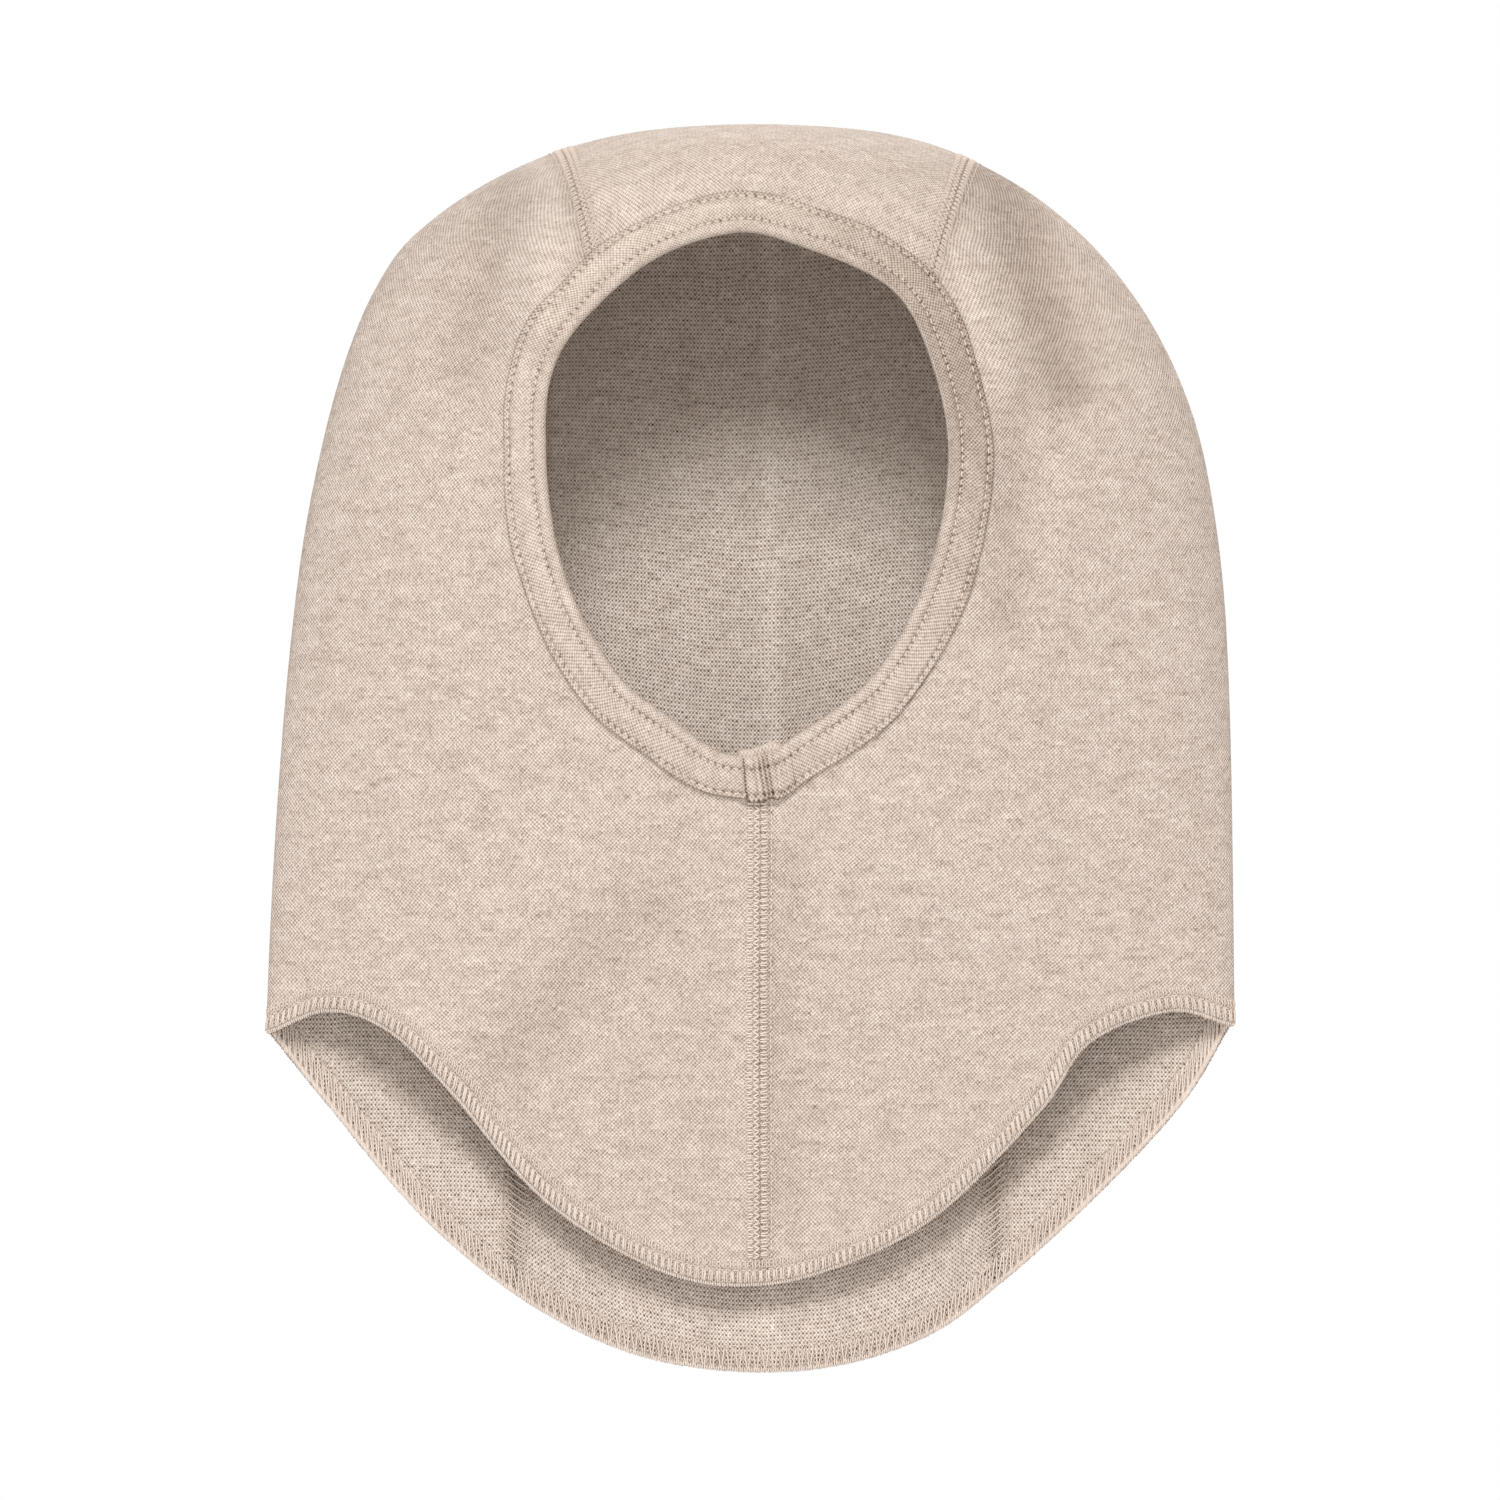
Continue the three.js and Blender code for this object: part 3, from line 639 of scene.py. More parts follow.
def panel_shade(outer):
    """Painted shade on a panel's two sides: under its seams and hem exp(-(distance / zone)^4), outside in the
    valleys with painted light on the ridges, inside by height but for a painted highlight along the crease
    down the back."""
    run = np.cumsum(np.linalg.norm(np.diff(outer, axis=1, prepend=outer[:, :1]), axis=-1), axis=1)
    to_seam = np.minimum(run, run[:, -1:] - run)
    to_neck = np.maximum(2 - PANEL_ROWS, 0)[:, None] * HEM_WIDTH
    by_seam = SHADE_UNDER_SEAM * np.exp(-((to_seam / SEAM_ZONE) ** 4))
    by_hem = SHADE_UNDER_HEM * np.exp(-((to_neck / HEM_ZONE) ** 4))
    # Painted shade under the seam and hem stitches.
    shade_under_stitches = np.maximum(by_seam, by_hem)
    x, y, z = np.moveaxis(outer, -1, 0)
    relief = np.where(y < 0, folds(x, z, FRONT_FOLDS), folds(x, z, BACK_FOLDS))
    # Painted shade in the fold valleys and painted light on the ridges.
    hollows = -relief * np.where(relief < 0, VALLEY_SHADE, RIDGE_LIGHT)
    # A painted highlight along the crease down the back, inside only.
    crease = CREASE_LIGHT * np.exp(-(((x - BACK_CREASE) / CREASE_BREADTH) ** 2)) * (y > 0)
    # Painted shade inside, deepest under the crown.
    inside = np.interp(z, *np.array(INSIDE_SHADE).T) - crease
    return np.concatenate([(shade_under_stitches + hollows).ravel(), (shade_under_stitches + inside).ravel()])


def panel(name, start, stop, columns, grain, materials):
    """A closed sheet of cloth between two seams, smooth side out."""
    around, out = panel_grid(start, stop, columns)
    uv = grain(skin(around, out))
    outer, inner = cloth(around, out, FABRIC / 2), cloth(around, out, -FABRIC / 2)
    rows = len(PANEL_ROWS)
    faces = shell_quads(rows, columns)
    index = np.repeat([0, 1, 0], [len(part) for part in faces])
    points = np.concatenate([outer.reshape(-1, 3), inner.reshape(-1, 3)])
    piece = mesh_piece(name, points, faces, np.tile(uv.reshape(-1, 2), (2, 1)), index, panel_shade(outer))
    for material in materials:
        piece.data.materials.append(material)
    return piece


def right_grain(points):
    """The right panel's UVs."""
    return upright_grain(points, 1)


def left_grain(points):
    """The left panel's UVs."""
    return upright_grain(points, -1)


SIDE_COLUMNS, CENTRE_COLUMNS = 150, 84
both_sides = (smooth_side, purl_side)
right_side = panel("right_side_panel_cloth", "front", "right", SIDE_COLUMNS, right_grain, both_sides)
left_side = panel("left_side_panel_cloth", "left", "full_turn", SIDE_COLUMNS, left_grain, both_sides)
for piece, node in ((right_side, "right_side_panel"), (left_side, "left_side_panel")):
    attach(piece, "root")
    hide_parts(node)


# ---------------------------------------------------------------------------------------------------------
# The centre panel, one long strip from the brow over the crown and down the back, wales along its length.
# ---------------------------------------------------------------------------------------------------------
def lengthwise_grain(points):
    """UVs of a strip: u is metres from its middle line across each row, v metres along the middle line."""
    steps = np.linalg.norm(np.diff(points, axis=1), axis=-1)
    u = np.hstack([np.zeros((len(points), 1)), np.cumsum(steps, axis=1)])
    half = points.shape[1] // 2
    v = np.r_[0, np.cumsum(np.linalg.norm(np.diff(points[:, half], axis=0), axis=-1))]
    return np.stack([u - u[:, half : half + 1], np.broadcast_to(-v[:, None], u.shape)], -1)


centre = panel("centre_panel_cloth", "right", "left", CENTRE_COLUMNS, lengthwise_grain, both_sides)
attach(centre, "root")
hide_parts("centre_panel")


# ---------------------------------------------------------------------------------------------------------
# The face binding: a strip of the same jersey cut across, folded over the raw face edge so that its wales
# run across the band. Its outer leaf is turned under and held by two needle rows, which sink into it.
# ---------------------------------------------------------------------------------------------------------
BINDING_LAYER = 0.0009
TAPE_TOP = FABRIC / 2 + BINDING_LAYER  # height of the band's face off the middle of the cloth
TAPE_UNDER = FABRIC / 2 + 0.00004  # height of its inner side, just off the cloth's face
NEEDLE_ROWS = (0.0030, 0.0088)  # distance of the two needle rows in from the rolled edge
STITCH = 0.0021
JOIN_LEFT, JOIN_RIGHT = 0.0042, 0.0082  # the join's two ends, from the middle of the front
JOIN_LEAN = 0.17  # how far the join leans to the right for each unit across the band
LEAN_REACH = 0.015  # how far from the join the band's wales still lean with it
SWELL, ROW_SINK, HOLE_SINK = 0.00034, 0.00026, 0.00042  # between the rows, along them, and at a needle hole


def edge_run(in_from, reach):
    """Length of a line that keeps a distance from an edge, and the function from length to angle on it."""
    angles = FRONT_ANGLE + np.linspace(0, TURN, 3001)
    line = skin(angles, in_from(angles, reach))
    along = np.r_[0, np.cumsum(np.linalg.norm(np.diff(line, axis=0), axis=-1))]
    return along[-1], lambda s: FRONT_ANGLE + TURN * np.floor(s / along[-1]) + np.interp(
        np.mod(s, along[-1]), along, angles - FRONT_ANGLE
    )


face_length, face_angle = edge_run(in_from_face, BINDING_WIDTH / 2)


def on_face(along, reach, lift):
    """A point near the face edge: metres round it to the right of the middle, in from it, and off the cloth.
    Lines across the band lean to the right near the join."""
    along, reach, lift = np.broadcast_arrays(along, reach, lift)
    away = np.minimum(np.abs(along), np.abs(along - face_length))
    leaning = along + JOIN_LEAN * (reach - BINDING_WIDTH / 2) * np.exp(-((away / LEAN_REACH) ** 2))
    angle = face_angle(leaning)
    return cloth(angle, in_from_face(angle, reach), lift)


def to_needle(along, reach):
    """Distance across the band to the nearer needle row, and along it to the nearest needle hole."""
    first, second = NEEDLE_ROWS
    to_row = np.minimum(np.abs(reach - first), np.abs(reach - second))
    to_hole = np.abs(np.mod(along / STITCH + 0.5, 1) - 0.5) * STITCH
    return to_row, to_hole


def band_height(along, reach):
    """Height of the band's face: it swells between the needle rows as |sin|, sinks along each row as a
    narrow exp(-d^2), deeper where the needle goes in, and puckers a little from stitch to stitch."""
    first, second = NEEDLE_ROWS
    swell = SWELL * np.abs(np.sin(np.pi * (reach - first) / (second - first)))
    to_row, to_hole = to_needle(along, reach)
    deeper = ROW_SINK + HOLE_SINK * np.exp(-((to_hole / 0.0004) ** 2))
    sunk = np.exp(-((to_row / 0.00042) ** 2)) * deeper
    wander = np.sin(TURN * along / 0.0071 + 3 * np.sin(along / 0.021))
    puckers = 0.00006 * wander * np.sin(np.pi * reach / BINDING_WIDTH)
    return TAPE_TOP + swell - sunk + puckers


def band_shade(along, reach):
    """Shade on the band's face: in the needle holes, along the rows, at the turned-under outer edge, more
    so by the join, and over the stretch of the band that is turned away, each as exp(-d^2)."""
    to_row, to_hole = to_needle(along, reach)
    deep = 0.27 + 0.12 * np.sin(along / 0.0037)
    holes = deep * np.exp(-((to_row / 0.00034) ** 2) - (to_hole / 0.00036) ** 2)
    rows = 0.08 * np.exp(-((to_row / 0.0006) ** 2))
    by_join = 0.35 + 0.3 * np.exp(-((along / 0.006) ** 2))
    under = by_join * np.exp(-(((reach - BINDING_WIDTH) / 0.00035) ** 2))
    turned_away = 0.25 * np.exp(-(((along - 0.125) / 0.045) ** 2))
    return holes + rows + under + turned_away


ROLL = 0.0018  # how far in from the rolled edge the fold begins


def tape_section(top, roll):
    """(reach, lift) across the folded tape: in along the outer leaf, half an ellipse round the rolled edge,
    and back along the inner leaf."""
    turn = np.linspace(np.pi / 2, 3 * np.pi / 2, 11)[1:-1]
    leaf = np.r_[
        0.01000, 0.01000, 0.00992, 0.0097, 0.0094, 0.0091, 0.0088, 0.0085, 0.0082,
        np.linspace(0.0077, 0.0040, 8), 0.0036, 0.0033, 0.0030, 0.0027, 0.0024, 0.0020,
    ]
    turned_under = np.r_[0.00082, 0.00042, 0.00014, 0.00003, np.zeros(len(leaf) - 4)]
    outer = np.stack([leaf, top - np.minimum(turned_under, top - TAPE_UNDER)], -1)
    rolled = np.stack([ROLL + roll * np.cos(turn), top * np.sin(turn)], -1)
    inner = np.array([ROLL, 0.0030, 0.0046, 0.0062, 0.0078, 0.0092, 0.0098])
    back = np.stack([inner, -top * np.ones_like(inner)], -1)
    return np.vstack([outer, rolled, back])


def tape(name, start, stop, stations, extra, painted_shade, materials):
    """A length of folded tape as a closed sheet: its outer side at the band's height, its inner side against
    the cloth. `extra` gives more height to the outer leaf at (along, reach), and the function after it more
    painted shade."""
    along = np.linspace(start, stop, stations)[:, None]
    outside, inside = tape_section(TAPE_TOP, ROLL), tape_section(TAPE_UNDER, 0.0008)
    reach, lift = outside.T[:, None]
    swell = (band_height(along, reach) - TAPE_TOP + extra(along, reach)) * np.clip(lift / TAPE_TOP, -0.4, 1)
    wander = np.sin(along / 0.0089) + np.sin(along / 0.0053 + 2)
    uneven = 0.00016 * wander * np.clip(reach / BINDING_WIDTH, 0, 1) ** 4
    outer = on_face(along, reach + uneven, lift + swell)
    inner = on_face(along, inside[:, 0][None], inside[:, 1][None])
    across = np.r_[0, np.cumsum(np.hypot(*np.diff(outside, axis=0).T))]
    uv = np.stack(np.broadcast_arrays(along, across[None]), -1).reshape(-1, 2)
    faces = shell_quads(stations, len(outside))
    points = np.concatenate([outer.reshape(-1, 3), inner.reshape(-1, 3)])
    # Painted shade on the band's face: needle holes, rows, the turned-under edge and the join's grooves.
    shade = (band_shade(along, reach) + painted_shade(along, reach)) * (lift > FABRIC / 2)
    shade = np.tile(np.clip(shade, 0, 0.8).ravel(), 2)
    piece = mesh_piece(name, points, faces, np.tile(uv, (2, 1)), shade=shade)
    for material in materials:
        piece.data.materials.append(material)
    return piece


def plain(along, reach):
    """Nothing more, anywhere on the band."""
    return np.zeros_like(along + reach)


TAPE_UNIT = (0.00098, 0.00090)  # the band's wales and courses, drawn a little closer by the sewing
GAP = 0.00004  # between the band's ends and the join
binding_knit = knit("binding_tape", depth=0.00030, dots=0.65, level=0.82, unit=TAPE_UNIT)
binding_ends = (JOIN_RIGHT + GAP, face_length - JOIN_LEFT - GAP)
binding = tape("face_binding_tape", *binding_ends, 900, plain, plain, [binding_knit])
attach(binding, "root")
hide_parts("face_binding")


# ---------------------------------------------------------------------------------------------------------
# The binding's join at the middle of the front: the tape's end, turned under and lapped over its start. Its
# left end stands up as a leaning step, it is ribbed by the fold, and a tab of it shows past the rolled edge.
# ---------------------------------------------------------------------------------------------------------
STEP_HEIGHT = 0.00080
GROOVES = [  # (along, depth) of the grooves between the ribs
    (-0.0015, 0.00024), (0.0000, 0.00046), (0.0011, 0.00056),
    (0.0021, 0.00050), (0.0036, 0.00022), (0.0051, 0.00014),
]
GROOVE_SHADE = 750  # shade in a groove, per metre of its depth
STEP_SHADE = 0.55


def grooved(along, breadth):
    """Depth of the grooves: each is exp(-((along - its place) / breadth)^2)."""
    return sum(depth * np.exp(-(((along - place) / breadth) ** 2)) for place, depth in GROOVES)


def join_height(along, reach):
    """The lap's extra height, highest at its left end, with the grooves between its ribs."""
    left = (JOIN_RIGHT - along) / (JOIN_RIGHT + JOIN_LEFT)
    lap = STEP_HEIGHT * left**0.8 * np.minimum(1, (along + JOIN_LEFT) / 0.0005 * 0.5 + 0.5)
    return lap - grooved(along, 0.0003) * np.clip(reach / 0.0012, 0, 1)


def join_shade(along, reach):
    """Shade in the grooves between the ribs and against the step at the lap's left end."""
    step = STEP_SHADE * np.exp(-(((along + JOIN_LEFT) / 0.0004) ** 2))
    return GROOVE_SHADE * grooved(along, 0.00028) + step + np.zeros_like(reach)


join = tape("binding_join_lap", -JOIN_LEFT, JOIN_RIGHT, 90, join_height, join_shade, [binding_knit])
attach(join, "root")
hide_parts("binding_join")

TAB_LEFT, TAB_RIGHT = -0.0054, 0.0060
TAB_OUTLINE = [  # (share of its length, rise past the rolled edge)
    (0, 0.0006), (0.06, 0.0014), (0.35, 0.0017), (0.65, 0.0022), (0.80, 0.0023), (0.90, 0.0014), (1, 0.0002),
]
TAB_ROOT = 0.0014  # how far in from the rolled edge the tab begins
TAB_HALF_THICK, TAB_LIFT = 0.00062, -0.0004


def tab_point(length, turn):
    """The tab past the rolled edge: along it the height follows its cut end and rounded fold, and each
    section is a flat superellipse."""
    along = TAB_LEFT + (TAB_RIGHT - TAB_LEFT) * length
    half = (np.interp(length, *np.array(TAB_OUTLINE).T) + TAB_ROOT) / 2
    shrink = np.clip(np.minimum(length, 1 - length) / 0.03, 0, 1) ** 0.5
    wide = np.sign(np.cos(turn)) * np.abs(np.cos(turn)) ** 0.6
    thick = np.sign(np.sin(turn)) * np.abs(np.sin(turn)) ** 0.8
    return on_face(along, TAB_ROOT - half + half * wide * shrink, TAB_LIFT + TAB_HALF_THICK * thick * shrink)


TAB_RINGS, TAB_SIDES = 42, 24
length = np.linspace(0, 1, TAB_RINGS + 2)[:, None]
turn = np.linspace(0, TURN, TAB_SIDES, endpoint=False)[None]
rings, tips = tab_point(length[1:-1], turn), tab_point(length[[0, -1], 0], np.zeros(2))
tab_u, tab_v = length[1:-1] * (TAB_RIGHT - TAB_LEFT), 0.003 * np.abs(turn / np.pi - 1)
tab_uv = np.stack(np.broadcast_arrays(tab_u, tab_v), -1).reshape(-1, 2)
here = np.arange(TAB_SIDES)
after, last, tip = np.roll(here, -1), here + (TAB_RINGS - 1) * TAB_SIDES, TAB_RINGS * TAB_SIDES
ends = np.stack([np.full(2 * TAB_SIDES, tip), np.r_[here, last], np.r_[after, last]], -1)
ends[TAB_SIDES:] = np.stack([np.full(TAB_SIDES, tip + 1), np.roll(last, -1), last], -1)
tab_points = np.vstack([rings.reshape(-1, 3), tips])
tab_faces = [grid_quads(TAB_RINGS, TAB_SIDES, flip=True, wrap_columns=True), ends]
tab = mesh_piece("binding_join_tab", tab_points, tab_faces, np.vstack([tab_uv, tab_uv[[0, -1]]]))
tab.data.materials.append(knit("binding_tab", depth=0.0002, dots=0.4, unit=TAPE_UNIT))
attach(tab, "root")
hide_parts("binding_join")


# ---------------------------------------------------------------------------------------------------------
# The stitches of the binding, soft matte thread: two needle rows sunk into the band's face, and the looper
# thread that zigzags between them on the inside.
# ---------------------------------------------------------------------------------------------------------
PALE_THREAD = (0.79, 0.685, 0.597)
# The thread's darker tone, reached by its random fuzz and by painted shade in the grooves between plies.
THREAD_TONE_AND_SHADE = (0.56, 0.465, 0.39)
# Painted shade at the thread's ends, where they go down into the cloth.
HOLE_SHADE = (0.16, 0.12, 0.09)
PLY = 0.0005  # length of one turn of the thread's plies


def thread_material(name, colour, shade):
    """Soft spun thread. UVs are metres along the strand and -1 to 1 across it: plies slant across as
    sin(u + v), with painted shade in the grooves between them and a little fuzz. The ends, where the thread
    goes down into the cloth, get painted shade, where the attribute "sunk" is 1."""
    material = bpy.data.materials.new(name)
    material.use_nodes = True
    tree = material.node_tree
    shader = tree.nodes["Principled BSDF"]
    where = tree.nodes.new("ShaderNodeUVMap")
    where.uv_map = "cloth"
    split = tree.nodes.new("ShaderNodeSeparateXYZ")
    link(tree, where.outputs["UV"], split.inputs[0])
    turned = maths(tree, "DIVIDE", split.outputs["X"], PLY)
    turned = maths(tree, "MULTIPLY_ADD", split.outputs["Y"], 0.3, turned)
    ply = maths(tree, "MULTIPLY_ADD", maths(tree, "SINE", maths(tree, "MULTIPLY", turned, TURN)), 0.5, 0.5)
    place = tree.nodes.new("ShaderNodeTexCoord").outputs["Object"]
    fuzz = noise(tree, place, 2600.0, 2.0, 0.6)
    tint = noise(tree, place, 260.0, 2.0, 0.5)
    light = maths(tree, "ADD", maths(tree, "MULTIPLY", ply, 0.3), maths(tree, "MULTIPLY", fuzz, 0.7))
    light = maths(tree, "MULTIPLY_ADD", tint, 0.5, maths(tree, "MULTIPLY", light, 0.7))
    sunk = tree.nodes.new("ShaderNodeAttribute")
    sunk.attribute_name = "sunk"
    lit = ramp(tree, light, [(0.25, shade), (0.62, colour), (1.0, colour)])
    # Painted shade at each strand's ends, where it goes into the cloth.
    sunk_share = maths(tree, "MULTIPLY", sunk.outputs["Fac"], 0.8)
    link(tree, mixed(tree, "MIX", sunk_share, lit, (*HOLE_SHADE, 1)), shader.inputs["Base Color"])
    bump = tree.nodes.new("ShaderNodeBump")
    bump.inputs["Strength"].default_value = 0.6
    bump.inputs["Distance"].default_value = 0.00006
    link(tree, maths(tree, "ADD", ply, fuzz), bump.inputs["Height"])
    link(tree, bump.outputs["Normal"], shader.inputs["Normal"])
    shader.inputs["Roughness"].default_value = 0.8
    shader.inputs["Specular IOR Level"].default_value = 0.25
    shader.inputs["Sheen Weight"].default_value = 0.15
    return material


def sew(at, places, template, radius, seed, sides=6, loose=0.00007):
    """Points, faces and UVs of one closed strand at each place, all of one shape.

    `template` is the strand's own points as (along, across, lift). `at` lays them on the cloth. Each point
    strays by up to `loose`. The section is a ring, flatter than round, and its radius falls towards the ends
    as 1 - 0.45 t^4, with a point at each end.
    """
    draw = np.random.default_rng(seed)
    template = np.array(template)
    stray = draw.uniform(-loose, loose, (len(places), len(template), 3)) * (1, 1, 0.3)
    laid = np.asarray(places)[:, None, None] * (1, 0, 0) + template + stray
    path = at(laid[..., 0], laid[..., 1], laid[..., 2])
    up = at(laid[..., 0], laid[..., 1], laid[..., 2] + 0.0002) - path
    tangent = np.gradient(path, axis=1)
    tangent /= np.linalg.norm(tangent, axis=-1, keepdims=True)
    wide = np.cross(tangent, up)
    wide /= np.linalg.norm(wide, axis=-1, keepdims=True)
    thick = np.cross(wide, tangent) * 0.8
    count, steps = path.shape[:2]
    turn = np.arange(sides) * TURN / sides
    swell = radius * (1 - 0.45 * np.linspace(-1, 1, steps) ** 4)[:, None, None]
    ring = np.cos(turn)[:, None] * wide[:, :, None] + np.sin(turn)[:, None] * thick[:, :, None]
    rings = path[:, :, None] + swell * ring
    tips = path[:, [0, -1]] + tangent[:, [0, -1]] * radius * np.array([[-0.6], [0.6]])
    points = np.concatenate([rings.reshape(count, -1, 3), tips], axis=1)
    run = np.cumsum(np.r_[0, np.linalg.norm(np.diff(template, axis=0), axis=-1)])
    uv = np.stack([np.repeat(run, sides), np.tile(np.cos(turn), steps)], -1)
    uv = np.broadcast_to(np.vstack([uv, [(0, 0), (run[-1], 0)]]), (count, len(uv) + 2, 2))
    here, after, last = np.arange(sides), np.roll(np.arange(sides), -1), (steps - 1) * sides
    first_cap = np.stack([np.full(sides, steps * sides), here, after], -1)
    last_cap = np.stack([np.full(sides, steps * sides + 1), last + after, last + here], -1)
    start = np.arange(count)[:, None, None] * points.shape[1]
    quads = grid_quads(steps, sides, wrap_columns=True)[:, ::-1][None] + start
    caps = np.vstack([first_cap, last_cap])[None] + start
    # How near each point lies to the strand's ends, where the material paints shade.
    sunk = np.r_[np.repeat(np.linspace(-1, 1, steps) ** 6, sides), 1, 1]
    sunk = np.tile(sunk, count)
    return points.reshape(-1, 3), quads.reshape(-1, 4), caps.reshape(-1, 3), uv.reshape(-1, 2), sunk


def thread_piece(name, node, runs, material):
    """One mesh of many runs of stitches, which stands for a thread node."""
    starts = np.cumsum([0] + [len(run[0]) for run in runs[:-1]])
    points = np.concatenate([run[0] for run in runs])
    quads = np.concatenate([run[1] + start for run, start in zip(runs, starts)])
    caps = np.concatenate([run[2] + start for run, start in zip(runs, starts)])
    piece = mesh_piece(name, points, [quads, caps], np.concatenate([run[3] for run in runs]))
    # The attribute "sunk" carries the painted shade at the strands' ends.
    sunk = piece.data.attributes.new("sunk", "FLOAT", "POINT")
    sunk.data.foreach_set("value", np.concatenate([run[4] for run in runs]).astype(np.float32))
    piece.data.materials.append(material)
    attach(piece, "root")
    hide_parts(node)
    return piece


thread = thread_material("spun_thread", PALE_THREAD, THREAD_TONE_AND_SHADE)
binding_stitches = np.arange(JOIN_RIGHT + STITCH / 2, face_length - JOIN_LEFT, STITCH)
binding_stitches = np.round(binding_stitches / STITCH) * STITCH
DASH_RADIUS, LOOPER_RADIUS = 0.00016, 0.00015
for row, node in zip(NEEDLE_ROWS, ("binding_needle_thread_inner", "binding_needle_thread_outer")):
    dash = [
        (0.0002, row, TAPE_TOP - 0.00045), (0.0005, row, TAPE_TOP - 0.00022),
        (0.00105, row, TAPE_TOP - 0.00010),
        (0.0016, row, TAPE_TOP - 0.00022), (0.0019, row, TAPE_TOP - 0.00045),
    ]
    dashes = sew(on_face, binding_stitches, dash, DASH_RADIUS, 11)
    thread_piece(node + "_stitches", node, [dashes], thread)

back = -TAPE_TOP - 0.00012  # how high the looper thread lies on the inside
first, second = NEEDLE_ROWS
looper = [
    [(0, first, back + 0.0001), (0.0004, first + 0.0012, back), (0.0009, (first + second) / 2, back),
     (0.0016, second - 0.0012, back), (0.0021, second, back + 0.0001)],
    [(0, second, back + 0.0001), (0.0001, second - 0.0014, back), (0.0006, (first + second) / 2, back),
     (0.0009, first + 0.0014, back), (0.0012, first, back + 0.0001)],
]
runs = [
    sew(on_face, binding_stitches, template, LOOPER_RADIUS, 12 + i, sides=5)
    for i, template in enumerate(looper)
]
thread_piece("binding_looper_thread_zigzag", "binding_looper_thread", runs, thread)


# ---------------------------------------------------------------------------------------------------------
# The three flatlock seams. Outside, two columns of short bars with a zigzag between them and a chain down
# one edge; inside, one curved bar a stitch with a chain down the other edge.
# ---------------------------------------------------------------------------------------------------------
SEAM_STITCH = 0.00166
BAR_RADIUS, CHAIN_RADIUS, INNER_RADIUS = 0.00023, 0.00017, 0.00019
CROWN_THREAD_SHADED = (0.68, 0.58, 0.495)  # a darker copy of the thread: painted shade on the crown seams, where they face the light
OUTSIDE = FABRIC / 2 + 0.00010  # how high the outside bars lie


def seam_run(name):
    """A seam's length and the function that lays (along, across, lift) on it."""
    share = np.linspace(0, 1, 500)
    angle = seam_angle(name, share)
    out = out_at(angle, share)
    line = skin(angle, out)
    pace = np.linalg.norm(slopes(angle, out)[0], axis=-1)
    along = np.r_[0, np.cumsum(np.linalg.norm(np.diff(line, axis=0), axis=-1))]

    def at(run, across, lift):
        here = np.interp(run, along, angle) + across / np.interp(run, along, pace)
        return cloth(here, out_at(here, np.interp(run, along, share)), lift)

    return along[-1], at


def bar(left, right, lift, slant=0.0, bow=0.00016):
    """A short strand across a seam, its ends diving into the cloth: (along, across, lift) at five points."""
    t = np.array([0, 0.18, 0.5, 0.82, 1])
    height = lift + np.sign(lift) * np.array([-0.0004, -0.00004, bow * 0.4, -0.00004, -0.0004])
    return np.stack([slant * (t - 0.5), left + (right - left) * t, height], -1)


def ladder(name, node, hand, material):
    """All the stitches of one seam. `hand` says which edge the outside chain runs along."""
    length, at = seam_run(name)
    places = np.arange(-0.0006, length - 0.0004, SEAM_STITCH)
    seed = len(node)
    outside = [
        bar(-0.0036, -0.0018, OUTSIDE, 0.0001), bar(-0.0035, -0.0019, OUTSIDE, -0.0003) + (0.0006, 0, 0),
        bar(-0.0004, 0.0019, OUTSIDE, -0.0001), bar(-0.0003, 0.0018, OUTSIDE, 0.0003) + (0.0006, 0, 0),
        bar(-0.0020, -0.0003, OUTSIDE, 0.0010), bar(-0.0020, -0.0003, OUTSIDE, -0.0009) + (0.0008, 0, 0),
    ]
    chain = [(0.0001, 0.0026, 0.0004), (0.0004, 0.00265, 0.00076), (0.0008, 0.0026, 0.00086),
             (0.0012, 0.00255, 0.00076), (0.0015, 0.0026, 0.0004)]
    curved = [(-0.0009, -0.0032, -0.0005), (-0.0004, -0.00315, -0.00082), (0.0000, -0.0026, -0.0009),
              (0.0002, -0.0012, -0.00092), (0.0001, 0.0010, -0.00092), (0, 0.0024, -0.0009),
              (-0.0002, 0.0032, -0.0006)]
    edge_chain = [(0, 0.0032, -0.00055), (0.0004, 0.0033, -0.0008), (0.0008, 0.00325, -0.00088),
                  (0.0013, 0.0032, -0.0008), (0.0016, 0.0032, -0.00055)]
    strands = [(bar_shape, BAR_RADIUS, seed + i) for i, bar_shape in enumerate(outside)]
    strands.append((chain, CHAIN_RADIUS, seed + 9))
    strands.append((curved, INNER_RADIUS, seed + 20))
    strands.append((edge_chain, INNER_RADIUS, seed + 21))
    runs = [sew(at, places, np.array(shape) * (1, hand, 1), radius, draw) for shape, radius, draw in strands]
    return thread_piece(node + "_stitches", node, runs, material)


# The crown seams get a darker copy of the thread, painted shade where they face the light.
shaded_crown_thread = thread_material("crown_seam_thread", CROWN_THREAD_SHADED, THREAD_TONE_AND_SHADE)
ladder("front", "centre_front_seam_thread", 1, thread)
ladder("left", "left_crown_seam_thread", 1, shaded_crown_thread)
ladder("right", "right_crown_seam_thread", -1, shaded_crown_thread)


